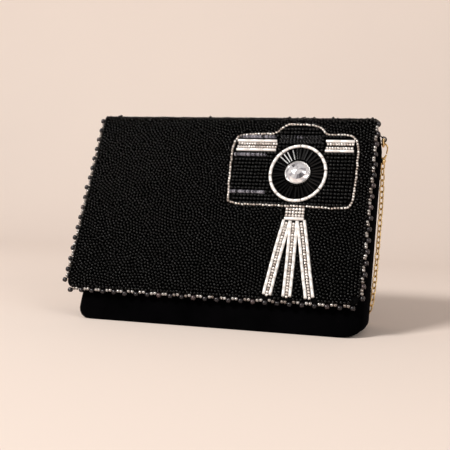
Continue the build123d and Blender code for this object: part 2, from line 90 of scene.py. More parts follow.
# ---- the beads ----
SEED_PITCH = 1.94
SEED_RADIUS = 0.92
SEED_LENGTH = 1.45
RIM_PITCH = 6.75
LENS = (43.3, 95.4)
LENS_ACROSS = 16.2
LENS_UP = 17.9
LENS_BUGLES = 26
SPOKES = 36
LENS_MARGIN = 1.7
CRYSTAL_RADIUS = 7.0
SEQUIN_LEAN = math.radians(38)
BAR_ROW_STEP = 1.98
LEG_MARGIN = 3.6
PROUD_SHARE = 0.04
PROUD_RISE = 0.7
PUSHES = 36

# ---- the strap ----
CHAIN_WIDTH = 0.0034
LINK_PITCH = 3.5
LINK_LENGTH = 5.2
LINK_WIRE = 0.9
RING_X = 84.5
RING_Y = FOOT_Y + 73.5
RING_BAR_Z = 109.4
RING_HALF = 4.2

UP_FRONT = np.array([0.0, math.sin(FRONT_SLOPE), math.cos(FRONT_SLOPE)])
OUT_FRONT = np.array([0.0, -math.cos(FRONT_SLOPE), math.sin(FRONT_SLOPE)])
UP_BACK = np.array([0.0, math.sin(BACK_SLOPE), math.cos(BACK_SLOPE)])
X_AXIS, Y_AXIS = np.array([1.0, 0.0, 0.0]), np.array([0.0, 1.0, 0.0])
CREASE_RISE = (CREASE_Z - FLAP_GAP * math.sin(FRONT_SLOPE)) / math.cos(FRONT_SLOPE)
FRONT_CREASE = FOOT + CREASE_RISE * UP_FRONT + FLAP_GAP * OUT_FRONT
BACK_CREASE = FOOT + [0.0, BASE_DEPTH + CREASE_Z * math.tan(BACK_SLOPE), CREASE_Z]


# ---- camera, light and surface ----
def make_camera():
    """The camera: in front and to the right, looking a little down, and held not quite level."""
    data = bpy.data.cameras.new("camera")
    data.sensor_width = 36.0
    data.lens = 68.69
    data.clip_start = 0.05
    camera = bpy.data.objects.new("camera", data)
    place = Matrix.Translation((0.13442 + MIDDLE_X * MM, -0.45302 + FOOT_Y * MM, 0.08187))
    turns = [(15.685, "Z"), (90 - 2.956, "X"), (1.65, "Z")]
    turn, tip, roll = [Matrix.Rotation(math.radians(angle), 4, axis) for angle, axis in turns]
    camera.matrix_world = place @ (turn @ tip) @ roll
    bpy.context.scene.collection.objects.link(camera)
    bpy.context.scene.camera = camera


make_camera()


def strap_route():
    """The strap's route in millimetres: down the right side, in five rows, and up the left side."""
    z = 1.75
    start = 93.5
    points = [
        (84.5, 73.5, start), (84.4, 76.2, 75.0), (84.2, 68.6, 50.0), (84.0, 58.8, 26.0),
        (82.0, 54.5, z), (59.0, 59.5, z), (20.0, 56.5, z), (-22.0, 60.8, z),
        (-53.0, 60.2, z), (-77.0, 61.0, z), (-84.0, 73.1, z), (-77.0, 85.2, z),
        (-50.0, 86.4, z), (-9.0, 88.8, z), (29.0, 84.6, z), (52.0, 85.0, z),
        (59.0, 97.1, z), (52.0, 109.2, z), (27.0, 110.4, z), (-11.0, 106.6, z),
        (-49.0, 110.0, z), (-73.0, 109.0, z), (-80.0, 121.1, z), (-73.0, 133.2, z),
        (-47.0, 134.4, z), (-9.0, 136.6, z), (18.0, 132.8, z), (40.0, 133.0, z),
        (47.0, 145.1, z), (40.0, 157.2, z), (14.0, 157.6, z), (-26.0, 154.4, z),
        (-64.0, 156.8, z), (-86.0, 149.0, z), (-93.0, 126.0, z), (-94.5, 99.0, z),
        (-90.5, 78.0, z), (-85.6, 59.6, z), (-84.4, 54.2, 19.0), (-84.2, 61.6, 40.0),
        (-84.4, 70.4, 60.0), (-84.4, 75.6, 77.0), (-84.5, 73.5, start),
    ]
    return [(x + MIDDLE_X, y + FOOT_Y, height) for x, y, height in points]


def line_of(points):
    """Points read from one smooth line, with the route's points as its control points."""
    data = bpy.data.curves.new("strap_line", "CURVE")
    data.dimensions = "3D"
    data.resolution_u = 16
    spline = data.splines.new("NURBS")
    spline.points.add(len(points) - 1)
    for point, place in zip(spline.points, points):
        point.co = (*[value * MM for value in place], 1.0)
    spline.order_u = 3
    spline.use_endpoint_u = True
    holder = bpy.data.objects.new("strap_line", data)
    bpy.context.scene.collection.objects.link(holder)
    mesh = bpy.data.meshes.new_from_object(holder)
    line = np.empty(len(mesh.vertices) * 3)
    mesh.vertices.foreach_get("co", line)
    bpy.data.objects.remove(holder)
    bpy.data.curves.remove(data)
    bpy.data.meshes.remove(mesh)
    return line.reshape(-1, 3) / MM


# ---- materials ----
class Value:
    """A number that varies over a surface: a socket that can be added to and multiplied."""

    def __init__(self, tree, socket):
        self.tree = tree
        self.socket = socket

    def plug(self, slot):
        """Links this value to an input."""
        self.tree.links.new(self.socket, slot)

    def join(self, operation, other):
        """The Maths node for an operation on this value and another value or number."""
        node = self.tree.nodes.new("ShaderNodeMath")
        node.operation = operation
        self.plug(node.inputs[0])
        if isinstance(other, Value):
            other.plug(node.inputs[1])
        else:
            node.inputs[1].default_value = other
        return Value(self.tree, node.outputs[0])

    def __add__(self, other):
        return self.join("ADD", other)

    def __mul__(self, other):
        return self.join("MULTIPLY", other)


class Finish:
    """A material and the nodes that make its surface."""

    def __init__(self, name, **constants):
        self.material = bpy.data.materials.new(name)
        self.material.use_nodes = True
        self.tree = self.material.node_tree
        self.shader = self.tree.nodes["Principled BSDF"]
        for socket, value in constants.items():
            self.shader.inputs[socket.replace("_", " ")].default_value = value

    def node(self, kind, settings=None, output=0, **sockets):
        """Adds a node, sets its settings and then its sockets, and gives one of its outputs."""
        node = self.tree.nodes.new(kind)
        for name, value in (settings or {}).items():
            setattr(node, name, value)
        for name, value in sockets.items():
            slot = node.inputs[name.replace("_", " ")]
            if isinstance(value, Value):
                value.plug(slot)
            else:
                slot.default_value = value
        return Value(self.tree, node.outputs[output])

    def place(self, *stretch):
        """The place on the bag, stretched by three numbers."""
        where = self.node("ShaderNodeTexCoord", output="Object")
        return self.node("ShaderNodeMapping", Vector=where, Scale=stretch) if stretch else where

    def noise(self, scale, detail=3.0, where=None):
        """Soft random patches of a size given in patches to the metre."""
        where = where or self.place()
        return self.node("ShaderNodeTexNoise", Vector=where, Scale=scale, Detail=detail)

    def ramp(self, factor, stops):
        """Colours met one after another as a value rises."""
        node = self.tree.nodes.new("ShaderNodeValToRGB")
        elements = node.color_ramp.elements
        while len(elements) < len(stops):
            elements.new(0.5)
        for element, (position, colour) in zip(elements, stops):
            element.position = position
            element.color = (*colour, 1.0)
        factor.plug(node.inputs["Fac"])
        return Value(self.tree, node.outputs["Color"])

    def surface(self, shade, stops, roughness, height=None, strength=0.0, distance=0.0):
        """Colours that follow a shade, a roughness, and a height that raises the surface by a
        distance in metres at full strength."""
        self.ramp(shade, stops).plug(self.shader.inputs["Base Color"])
        roughness.plug(self.shader.inputs["Roughness"])
        if height:
            raised = self.node("ShaderNodeBump", Height=height, Strength=strength, Distance=distance)
            raised.plug(self.shader.inputs["Normal"])
        return self.material


def velvet_finish():
    """Black velvet: a deep pile that catches a little light where it is brushed."""
    finish = Finish("velvet", Sheen_Weight=0.04, Sheen_Roughness=0.4, Specular_IOR_Level=0.0,
                    Sheen_Tint=(0.35, 0.35, 0.4, 1.0))
    brushed = finish.noise(55.0, 4.0)
    pile = finish.noise(2600.0, 2.0)
    stops = [(0.3, (0.0004, 0.0004, 0.0005)), (0.75, (0.0022, 0.002, 0.0024))]
    return finish.surface(brushed * 0.6 + pile * 0.4, stops, brushed * 0.12 + 0.84,
                          pile * 0.7 + brushed * 0.3, 0.5, 0.0004)


def satin_finish():
    """Black lining satin: a fine twill and a soft shine."""
    finish = Finish("satin", Sheen_Weight=0.1)
    bands = {"wave_type": "BANDS", "bands_direction": "DIAGONAL"}
    twill = finish.node("ShaderNodeTexWave", bands, Vector=finish.place(), Scale=900.0, Distortion=0.4)
    creases = finish.noise(60.0, 3.0)
    stops = [(0.3, (0.006, 0.006, 0.007)), (0.7, (0.02, 0.02, 0.024))]
    return finish.surface(creases, stops, creases * 0.25 + 0.28, twill * 0.3 + creases, 0.35, 0.0004)


def cloth_finish():
    """The black woven cloth that the beads are sewn to."""
    finish = Finish("beading_cloth", Specular_IOR_Level=0.02)
    weave = finish.node("ShaderNodeTexVoronoi", {"feature": "F1"}, Vector=finish.place(), Scale=2400.0)
    patches = finish.noise(90.0)
    stops = [(0.2, (0.0005, 0.0005, 0.0006)), (0.8, (0.003, 0.0028, 0.003))]
    return finish.surface(weave * 0.5 + patches * 0.5, stops, patches * 0.2 + 0.75, weave, 0.5, 0.0003)


def board_finish():
    """Grey-brown board, with its fibres."""
    finish = Finish("board")
    fibres = finish.noise(700.0, 5.0, finish.place(1.0, 6.0, 6.0))
    stops = [(0.3, (0.2, 0.18, 0.15)), (0.7, (0.33, 0.3, 0.26))]
    return finish.surface(fibres, stops, fibres * 0.2 + 0.7, fibres, 0.4, 0.0003)


def black_bead_finish(name, low, high, rough):
    """Opaque black glass: each bead a little lighter or duller than the next."""
    finish = Finish(name, Specular_IOR_Level=0.2)
    tone = finish.node("ShaderNodeAttribute", {"attribute_name": "tone"}, output="Fac")
    grain = finish.noise(1400.0, 2.0)
    middle = (high * 0.6, high * 0.6, high * 0.65)
    stops = [(0.0, (low, low, low)), (0.8, middle), (1.0, (high, high, high))]
    return finish.surface(tone * 0.8 + grain * 0.2, stops, tone * 0.09 + grain * 0.05 + rough,
                          grain, 0.12, 0.0002)


def glass_finish(name, metallic, coat, grain, share, rough, bump, stops):
    """Glass whose beads each have a tone of their own between the stops. The coat is its weight
    and roughness, the grain is its scale and detail, the share says how much the tone and the grain
    each count, and the last of rough is the roughness that the grain adds to."""
    finish = Finish(name, Metallic=metallic, Coat_Weight=coat[0], Coat_Roughness=coat[1])
    tone = finish.node("ShaderNodeAttribute", {"attribute_name": "tone"}, output="Fac")
    patches = finish.noise(*grain)
    return finish.surface(tone * share[0] + patches * share[1], stops, patches * rough[0] + rough[1],
                          patches, bump, 0.0002)


def silver_bead_finish(name, light):
    """Silver-lined glass: bright, with some beads warmer, greyer or darker."""
    stops = [(0.0, (0.16, 0.12, 0.1)), (0.22, (0.42, 0.35, 0.31)), (0.5, (0.78, 0.72, 0.68)),
             (1.0, (0.97, 0.94, 0.92))]
    stops = [(share, tuple(light * value for value in colour)) for share, colour in stops]
    return glass_finish(name, 0.75, (0.6, 0.08), (2600.0, 2.0), (0.75, 0.3), (0.2, 0.16), 0.3, stops)


def metal_finish(name, dark, light, rough):
    """Plated metal with faint wear and fine scratches."""
    finish = Finish(name, Metallic=1.0)
    wear = finish.noise(260.0, 4.0)
    scratches = finish.noise(1800.0, 2.0, finish.place(1.0, 1.0, 0.15))
    return finish.surface(wear * 0.7 + scratches * 0.3, [(0.25, dark), (0.7, light)],
                          wear * 0.15 + scratches * 0.1 + rough, scratches, 0.12, 0.0001)


def backdrop_finish():
    """Matt paper in a pale warm colour."""
    finish = Finish("backdrop", Specular_IOR_Level=0.1)
    patches = finish.noise(3.0, 2.0)
    stops = [(0.3, (0.735, 0.642, 0.588)), (0.7, (0.755, 0.66, 0.602))]
    return finish.surface(patches, stops, patches * 0.1 + 0.85)


VELVET = velvet_finish()
SATIN = satin_finish()
CLOTH = cloth_finish()
BOARD = board_finish()
BLACK = black_bead_finish("black_beads", 0.0003, 0.003, 0.02)
BLACK_BUGLE = black_bead_finish("black_bugles", 0.0005, 0.006, 0.06)
SILVER = silver_bead_finish("silver_lined_beads", 1.0)
EDGE_SILVER = silver_bead_finish("edge_beads", 0.5)
# Satin white bugles: cut glass with fine silvery streaks along it.
WHITE = glass_finish(
    "white_bugles", 0.35, (0.5, 0.15), (1500.0, 3.0), (0.5, 0.6), (0.2, 0.25), 0.25,
    [(0.0, (0.62, 0.56, 0.52)), (0.35, (0.86, 0.82, 0.8)), (1.0, (0.98, 0.96, 0.94))])
# Dark metallic glass, between black and a brownish grey.
RIM = glass_finish(
    "rim_beads", 0.55, (0.4, 0.1), (1200.0, 2.0), (0.8, 0.25), (0.18, 0.2), 0.2,
    [(0.0, (0.006, 0.005, 0.007)), (0.6, (0.025, 0.02, 0.022)), (1.0, (0.1, 0.07, 0.07))])
# Flat sequins, some black and some a shiny lilac grey.
SEQUIN = glass_finish(
    "sequins", 0.4, (0.7, 0.1), (900.0, 2.0), (0.95, 0.08), (0.2, 0.14), 0.15,
    [(0.0, (0.004, 0.004, 0.005)), (0.45, (0.02, 0.019, 0.024)), (0.6, (0.2, 0.19, 0.23)),
     (1.0, (0.46, 0.44, 0.5))])
# Cut crystal with a foil behind it: each facet's colour is a painted reflection, a patch of light or dark.
CRYSTAL_PAINTED_REFLECTIONS = glass_finish(
    "crystal", 0.6, (1.0, 0.02), (420.0, 2.0), (0.85, 0.2), (0.08, 0.05), 0.1,
    [(0.0, (0.03, 0.03, 0.035)), (0.3, (0.28, 0.27, 0.3)), (0.5, (0.72, 0.7, 0.75)),
     (1.0, (0.97, 0.96, 0.98))])
NICKEL = metal_finish("nickel", (0.42, 0.41, 0.4), (0.62, 0.61, 0.6), 0.2)
GOLD = metal_finish("gold_plate", (0.62, 0.4, 0.16), (0.95, 0.72, 0.38), 0.14)


# ---- meshes ----
def grid_faces(rows, columns, wrap_rows=False, wrap_columns=False):
    """The four-sided faces of a grid of points, joined end to end where it wraps."""
    row = np.arange(rows if wrap_rows else rows - 1)
    column = np.arange(columns if wrap_columns else columns - 1)
    row, column = np.meshgrid(row, column, indexing="ij")
    below = (row + 1) % rows
    beside = (column + 1) % columns
    corners = [row * columns + column, below * columns + column,
               below * columns + beside, row * columns + beside]
    return np.stack(corners, -1).reshape(-1, 4)


def mesh_object(name, points, faces, material, smooth=True, tone=None, weld=False):
    """A mesh object from points in millimetres and four-sided faces."""
    points = np.asarray(points, float).reshape(-1, 3) * MM
    mesh = bpy.data.meshes.new(name)
    mesh.vertices.add(len(points))
    mesh.vertices.foreach_set("co", points.ravel())
    mesh.loops.add(faces.size)
    mesh.loops.foreach_set("vertex_index", faces.ravel().astype(np.int32))
    mesh.polygons.add(len(faces))
    mesh.polygons.foreach_set("loop_start", np.arange(len(faces), dtype=np.int32) * 4)
    mesh.update(calc_edges=True)
    if tone is not None:
        layer = mesh.attributes.new("tone", "FLOAT", "POINT")
        layer.data.foreach_set("value", np.asarray(tone, np.float32))
    if weld:
        work = bmesh.new()
        work.from_mesh(mesh)
        bmesh.ops.remove_doubles(work, verts=work.verts, dist=2e-6)
        bmesh.ops.dissolve_degenerate(work, edges=work.edges, dist=1e-6)
        work.to_mesh(mesh)
        work.free()
    mesh.polygons.foreach_set("use_smooth", np.full(len(mesh.polygons), smooth))
    mesh.materials.append(material)
    made = bpy.data.objects.new(name, mesh)
    bpy.context.scene.collection.objects.link(made)
    return made


def piece(name, points, faces, material, body, slot, replaces=(), **details):
    """A mesh object with its material, that rides on a body and stands for some nodes. The slot is not
    used.
    """
    made = mesh_object(name, points, faces, material, **details)
    if body:
        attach(made, body)
    if replaces:
        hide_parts(*replaces)
    return made


def thickened(made, thickness):
    """Gives a shell the thickness of its cloth, inwards."""
    cloth = made.modifiers.new("cloth", "SOLIDIFY")
    cloth.thickness = thickness * MM
    cloth.offset = -1.0


def unit(vectors):
    """Vectors of length one."""
    return vectors / np.linalg.norm(vectors, axis=-1, keepdims=True)


def frames_from(along, outward):
    """Turning matrices whose columns are along, across and outward, made square to along."""
    along = unit(along)
    across = unit(np.cross(outward, along))
    return np.stack([along, across, np.cross(along, across)], -1)


def copies(shape, centres, frames, sizes=None):
    """A shape (points and faces) repeated at each centre, turned by each frame and scaled."""
    points, faces = shape
    moved = np.einsum("nij,vj->nvi", frames, points)
    if sizes is not None:
        moved = moved * np.asarray(sizes).reshape(-1, 1, 1)
    moved = moved + centres[:, None, :]
    steps = np.arange(len(centres))[:, None, None] * len(points)
    return moved.reshape(-1, 3), (faces[None] + steps).reshape(-1, 4)


def spread(count):
    """Angles evenly round a circle."""
    return np.linspace(0, 2 * math.pi, count, endpoint=False)


def bead(radius, length, hole=0.3, around=8, section=5, square=0.75):
    """A seed bead lying along X: an oval section carried round the axis, a little squared off.
    distance = middle + half thickness x cos b, along = half length x sin b."""
    turn, curve = spread(around)[:, None], spread(section)[None, :]
    thick = radius * (1 - hole) / 2
    sine = np.sign(np.sin(curve)) * np.abs(np.sin(curve)) ** square
    reach = radius - thick + thick * np.cos(curve)
    along = length / 2 * sine + 0 * turn
    points = np.stack([along, reach * np.cos(turn), reach * np.sin(turn)], -1)
    return points.reshape(-1, 3), grid_faces(around, section, True, True)


def bugle(radius, length, around=8):
    """A bugle bead along X: a glass tube with softened rims, from a six-point section."""
    rim = radius * 0.12
    bore = radius * 0.45
    section = np.array([(-length / 2 + rim, radius), (length / 2 - rim, radius),
                        (length / 2, radius - rim), (length / 2, bore),
                        (-length / 2, bore), (-length / 2, radius - rim)])
    turn = spread(around)[:, None]
    along, reach = section[None, :, 0] + 0 * turn, section[None, :, 1]
    points = np.stack([along, reach * np.cos(turn), reach * np.sin(turn)], -1)
    return points.reshape(-1, 3), grid_faces(around, len(section), True, True)


def tones(count, shape, low, high, power):
    """One random number for each copy of a shape, repeated on all its points."""
    return np.repeat(low + (high - low) * RNG.random(count) ** power, len(shape[0]))


def carried(path, section, closed=False, outward=(0.0, 0.0, 1.0)):
    """A section carried along a path. The section's first number goes across the path and its
    second outward."""
    step = np.roll(path, -1, 0) - np.roll(path, 1, 0)
    if not closed:
        step[0] = path[1] - path[0]
        step[-1] = path[-1] - path[-2]
    frames = frames_from(step, np.array(outward))
    offset = frames[:, None, :, 1] * section[None, :, :1] + frames[:, None, :, 2] * section[None, :, 1:]
    return path[:, None, :] + offset, grid_faces(len(path), len(section), closed, True)


def circle(radius, count=10):
    """Points evenly round a circle."""
    turn = spread(count)
    return np.stack([radius * np.cos(turn), radius * np.sin(turn)], -1)


def turned(profile, count=48):
    """A profile of (distance from the axis, height) turned round the axis Z."""
    turn = spread(count)[:, None]
    profile = np.asarray(profile, float)[None]
    reach = profile[..., 0]
    points = np.stack([reach * np.cos(turn), reach * np.sin(turn), profile[..., 1] + 0 * turn], -1)
    return points.reshape(-1, 3), grid_faces(count, profile.shape[1], True, False)


# ---- the beaded cloth's own surface ----
# A place on it is (x, q): q is counted up the front to the front crease at 0, then round it,
# across the top, round the back crease, and down the back.
ROLL_FRONT = math.radians(90) - FRONT_SLOPE
ROLL_BACK = math.radians(90) + BACK_SLOPE
TOP_DEPTH = BACK_CREASE[1] - FRONT_CREASE[1]
Q_TOP = FRONT_ROLL * ROLL_FRONT
Q_BACK = Q_TOP + TOP_DEPTH
Q_DOWN = Q_BACK + BACK_ROLL * ROLL_BACK
Q_END = Q_DOWN + ANCHOR_DROP


def outward_at(q):
    """The outward direction: it turns evenly through each crease, and is steady elsewhere."""
    angle = np.interp(q, [0, Q_TOP, Q_BACK, Q_DOWN], [-ROLL_FRONT, 0.0, 0.0, ROLL_BACK])
    return np.stack([0 * angle, np.sin(angle), np.cos(angle)], -1)


def cloth_point(x, q, level):
    """The place that is a level out from the flap's inner face, at x across and q along. On the
    back the flap's board ends, so the level sinks to the cloth's own thickness there."""
    x, q, level = np.broadcast_arrays(np.asarray(x, float), q, level)
    sink = np.clip((q - Q_BACK) / (Q_DOWN - Q_BACK), 0, 1)
    level = level - (CORE - ANCHOR_CLOTH) * sink * sink * (3 - 2 * sink)
    down = np.minimum(q, 0)[..., None] * UP_FRONT
    over = np.clip(q - Q_TOP, 0, TOP_DEPTH)[..., None] * Y_AXIS
    back = -np.maximum(q - Q_DOWN, 0)[..., None] * UP_BACK
    spot = FRONT_CREASE + down + over + back + np.maximum(level, 0.02)[..., None] * outward_at(q)
    return spot + (x[..., None] + FLAP_OFFSET) * X_AXIS


def cloth_frames(q, angle):
    """Frames for beads that lie on the cloth with their axis turned by an angle from across it."""
    outward = outward_at(q)
    up = np.stack([0 * q, outward[..., 2], -outward[..., 1]], -1)
    along = np.cos(angle)[..., None] * X_AXIS + np.sin(angle)[..., None] * up
    return frames_from(along, outward)


def rise_to_q(rise):
    """The cloth's own measure for a distance up the front from the surface the bag stands on."""
    return np.asarray(rise, float) - CREASE_RISE


def crease_blend(made, crease):
    """Bakes a piece's place into its points. The front or back crease's ends and bodies are worked out but
    not used.
    """
    ends, bodies = {
        "front": ((Q_TOP, 0.0), ("flap_spine", "flap")),
        "back": ((Q_BACK, Q_DOWN), ("flap_spine", "pouch")),
    }[crease]
    start, end = [tuple(cloth_point(0.0, q, 1.5) * MM) for q in ends]
    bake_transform(made)


# ---- beadwork helpers ----
def resampled(points, pitch, closed=False):
    """Places at an even pitch along a line of points, and the direction of the line there."""
    points = np.asarray(points, float)
    if closed:
        points = np.vstack([points, points[:1]])
    run = np.r_[0, np.cumsum(np.linalg.norm(np.diff(points, axis=0), axis=1))]
    count = max(2, int(round(run[-1] / pitch)) + (0 if closed else 1))
    stops = np.linspace(0, run[-1], count, endpoint=not closed)
    ahead = np.minimum(stops + 0.05, run[-1])
    behind = np.maximum(stops - 0.05, 0)
    read = [np.stack([np.interp(s, run, points[:, k]) for k in range(points.shape[1])], -1)
            for s in (stops, ahead, behind)]
    return read[0], read[1] - read[2]


def softened(points, rounds=2, closed=True):
    """A line whose corners are cut, a quarter and three quarters of the way along each side."""
    points = np.asarray(points, float)
    for _ in range(rounds):
        after = np.roll(points, -1, 0)
        pairs = np.stack([0.75 * points + 0.25 * after, 0.25 * points + 0.75 * after], 1).reshape(-1, 2)
        points = pairs if closed else np.vstack([points[:1], pairs[1:-2], points[-1:]])
    return points


def sew(name, shape, places, angle, level, material, slot="silver_beads", tone=(0, 1, 1), tilt=0.0,
        wobble=0.0, replaces=(), smooth=True):
    """Sews copies of a bead to the flap's front at (across, up) places, turned by angles."""
    places = np.asarray(places, float)
    angle = np.broadcast_to(np.asarray(angle, float), len(places))
    angle = angle + wobble * RNG.normal(size=len(places))
    q = rise_to_q(places[:, 1])
    frames = cloth_frames(q, angle)
    if tilt:
        turn_cos, turn_sin = math.cos(tilt), math.sin(tilt)
        rock = np.array([[turn_cos, 0, -turn_sin], [0, 1, 0], [turn_sin, 0, turn_cos]])
        frames = frames @ rock
    centres = cloth_point(places[:, 0], q, CORE + np.asarray(level))
    points, faces = copies(shape, centres, frames)
    return piece(name, points, faces, material, "flap", slot, smooth=smooth,
                 tone=tones(len(places), shape, *tone), replaces=replaces)


def inside(places, outline):
    """Whether each place is inside a closed outline, by counting the sides that it passes."""
    x, y = places[:, 0], places[:, 1]
    result = np.zeros(len(places), bool)
    for (x0, y0), (x1, y1) in zip(outline, np.roll(outline, -1, 0)):
        crosses = (y0 > y) != (y1 > y)
        result ^= crosses & (x < (x1 - x0) * (y - y0) / (y1 - y0 + 1e-12) + x0)
    return result


def beside(places, start, end, reach):
    """Whether each place is within reach of a straight line."""
    start, end = np.array(start, float), np.array(end, float)
    run = end - start
    share = np.clip(((places - start) @ run) / (run @ run), 0, 1)[:, None]
    return np.linalg.norm(places - (start + share * run), axis=1) < reach


# ---- the motif's outlines: (across, up the slope) ----
CAMERA = [(4.6, 74.2), (3.6, 80.0), (1.8, 104.0), (1.6, 113.0), (3.4, 119.2), (8.4, 121.2), (27.4, 121.8),
          (29.0, 124.0), (32.4, 127.8), (37.0, 128.6), (50.0, 127.8), (54.4, 126.0), (57.2, 122.0),
          (60.0, 121.2), (70.6, 121.8), (75.4, 118.8), (77.2, 111.0), (77.2, 98.0), (77.0, 82.0),
          (75.8, 75.2), (72.0, 73.4), (51.0, 74.0), (30.0, 74.2)]
NECK = [(38.9, 74.2), (50.5, 74.2), (50.5, 64.8), (38.9, 64.8)]
LEGS = {
    "tripod_left_leg": [(40.7, 64.9), (38.9, 53.0), (37.6, 43.8), (34.9, 19.6)],
    "tripod_middle_leg": [(44.6, 64.6), (45.1, 52.0), (45.6, 40.0), (46.0, 19.2)],
    "tripod_right_leg": [(48.7, 64.9), (52.2, 49.0), (55.2, 34.0), (58.6, 19.2)],
}
CAMERA_MIDDLE = np.array([39.6, 98.0])


def scattered():
    """Places for the seed beads: a staggered grid, shaken and then pushed apart by its near
    neighbours until the gaps are even but in no order."""
    rows = int((Q_END - 1.2 - rise_to_q(FLAP_BOTTOM + 0.9)) / (SEED_PITCH * 0.93))
    columns = int(2 * FIELD_HALF / (SEED_PITCH * 1.02))
    x = np.linspace(-FIELD_HALF, FIELD_HALF, columns)[None, :] + 0 * np.arange(rows)[:, None]
    q = np.linspace(rise_to_q(FLAP_BOTTOM + 0.9), Q_END - 1.2, rows)[:, None] + 0 * x
    x = x + (np.arange(rows)[:, None] % 2 - 0.5) * SEED_PITCH * 0.5
    spots = np.stack([x, q], -1) + RNG.uniform(-0.75, 0.75, (rows, columns, 2)) * SEED_PITCH
    low = np.array([-FIELD_HALF, q.min()])
    high = np.array([FIELD_HALF, q.max()])
    window = [(a, b) for a in range(-3, 4) for b in range(-3, 4) if (a, b) != (0, 0)]
    for _ in range(PUSHES):
        padded = np.pad(spots, ((3, 3), (3, 3), (0, 0)), constant_values=1e6)
        push = np.zeros_like(spots)
        for a, b in window:
            gap = spots - padded[3 + a:3 + a + rows, 3 + b:3 + b + columns]
            far = np.linalg.norm(gap, axis=-1, keepdims=True)
            strength = np.clip(1.12 * SEED_PITCH - far, 0, None)
            push += gap / np.maximum(far, 0.05) * strength * 0.28
        spots = np.clip(spots + push, low, high)
    return spots.reshape(-1, 2)


# ---- the pieces ----
def make_strap():
    """The chain: open oval links, each turned a quarter round from the one before."""
    line = line_of(strap_route())
    places, along = resampled(line, LINK_PITCH)
    along = unit(along)
    steep = np.clip(np.abs(along[:, 2:3]) * 1.3, 0, 1)
    steep = steep * steep * (3 - 2 * steep)
    outward = (1 - steep) * np.array([0.0, 0.0, 1.0]) + steep * Y_AXIS
    frames = frames_from(along, outward)
    lean = np.where(np.arange(len(places)) % 2, 1.0, -1.0) * math.radians(42)
    lean = lean + RNG.normal(0, 0.12, len(places))
    cosine, sine = np.cos(lean)[:, None], np.sin(lean)[:, None]
    across = cosine * frames[:, :, 1] + sine * frames[:, :, 2]
    frames = np.stack([frames[:, :, 0], across, np.cross(frames[:, :, 0], across)], -1)
    turn = spread(14)
    straight = (LINK_LENGTH - CHAIN_WIDTH / MM) / 2
    bend = (CHAIN_WIDTH / MM - LINK_WIRE) / 2
    along = bend * np.cos(turn) + straight * np.sign(np.cos(turn))
    oval = np.stack([along, bend * np.sin(turn), 0 * turn], -1)
    points, faces = carried(oval, circle(LINK_WIRE / 2, 6), closed=True)
    points, faces = copies((points.reshape(-1, 3), faces), places, frames)
    strap = piece("chain_links", points, faces, GOLD, "pouch", "chain_metal", replaces=["chain_strap"])


make_strap()


def front_face(z):
    """Where the pouch's front is, at a height."""
    return FOOT_Y + z * math.tan(FRONT_SLOPE)


def back_face(z):
    """Where the pouch's back is, at a height."""
    return FOOT_Y + BASE_DEPTH + z * math.tan(BACK_SLOPE)


def pouch_ring(z, inset, corner, swell):
    """One level of the pouch seen from above: a rounded rectangle from the front face to the
    back face, narrower near the base where the panels' lower corners are round. The side
    walls swell outwards in their middle, and the right one swells more, nearer to the front."""
    z = np.asarray(z, float)[:, None]
    inset = np.asarray(inset, float)[:, None]
    low = np.clip((PANEL_CORNER - z) / PANEL_CORNER, 0, 1)
    half = POUCH_HALF - PANEL_CORNER + PANEL_CORNER * np.sqrt(np.clip(1 - low ** 2, 0, 1)) - inset
    front, back = front_face(z) + inset, back_face(z) - inset
    middle, reach = (front + back) / 2, (back - front) / 2
    corner = np.minimum(corner, np.minimum(reach, half) * 0.98)
    turn = spread(RING_POINTS)[None, :]
    quarter = np.floor(turn / (math.pi / 2) + 0.5)
    share = turn - (quarter * math.pi / 2)
    ease = np.tan(share) / np.tan(math.pi / 4)
    bow = np.sin(ease * math.pi / 4) / math.sin(math.pi / 4)
    mix = 0.5 * bow + 0.5 * ease
    side = np.stack([np.cos(quarter * math.pi / 2), np.sin(quarter * math.pi / 2)], -1)
    x = side[..., 0] - side[..., 1] * mix
    y = side[..., 1] + side[..., 0] * mix
    flat_x, flat_y = half - corner, reach - corner
    edge_x = np.sign(x) * np.clip(np.abs(x) * half - flat_x, 0, None)
    edge_y = np.sign(y) * np.clip(np.abs(y) * reach - flat_y, 0, None)
    far = np.maximum(np.hypot(edge_x, edge_y), 1e-9)
    over = np.where((np.abs(edge_x) > 0) & (np.abs(edge_y) > 0), np.minimum(corner / far, 1), 1.0)
    px = np.clip(x * half, -flat_x, flat_x) + edge_x * over
    py = np.clip(y * reach, -flat_y, flat_y) + edge_y * over
    bulge = swell * np.clip(1 - (py / reach) ** 2, 0, 1) * np.clip(np.abs(px) / half, 0, 1) ** 40
    bulge = bulge * np.clip(z / 14, 0, 1) * np.clip((POUCH_TOP - z) / 40, 0, 1)
    forward = np.clip((py / reach + 1) / 2, 0, 1) ** 0.6
    full = BULGE * swell * np.sin(forward * math.pi) * np.clip(px / half, 0, 1) ** 30
    full = full * np.clip(z / 5, 0, 1) ** 0.5 * np.clip((POUCH_TOP - z) / 14, 0, 1) ** 0.6
    px = px + np.sign(px) * np.maximum(bulge, full)
    return np.stack([px + MIDDLE_X, middle + py, z + 0 * px], -1)


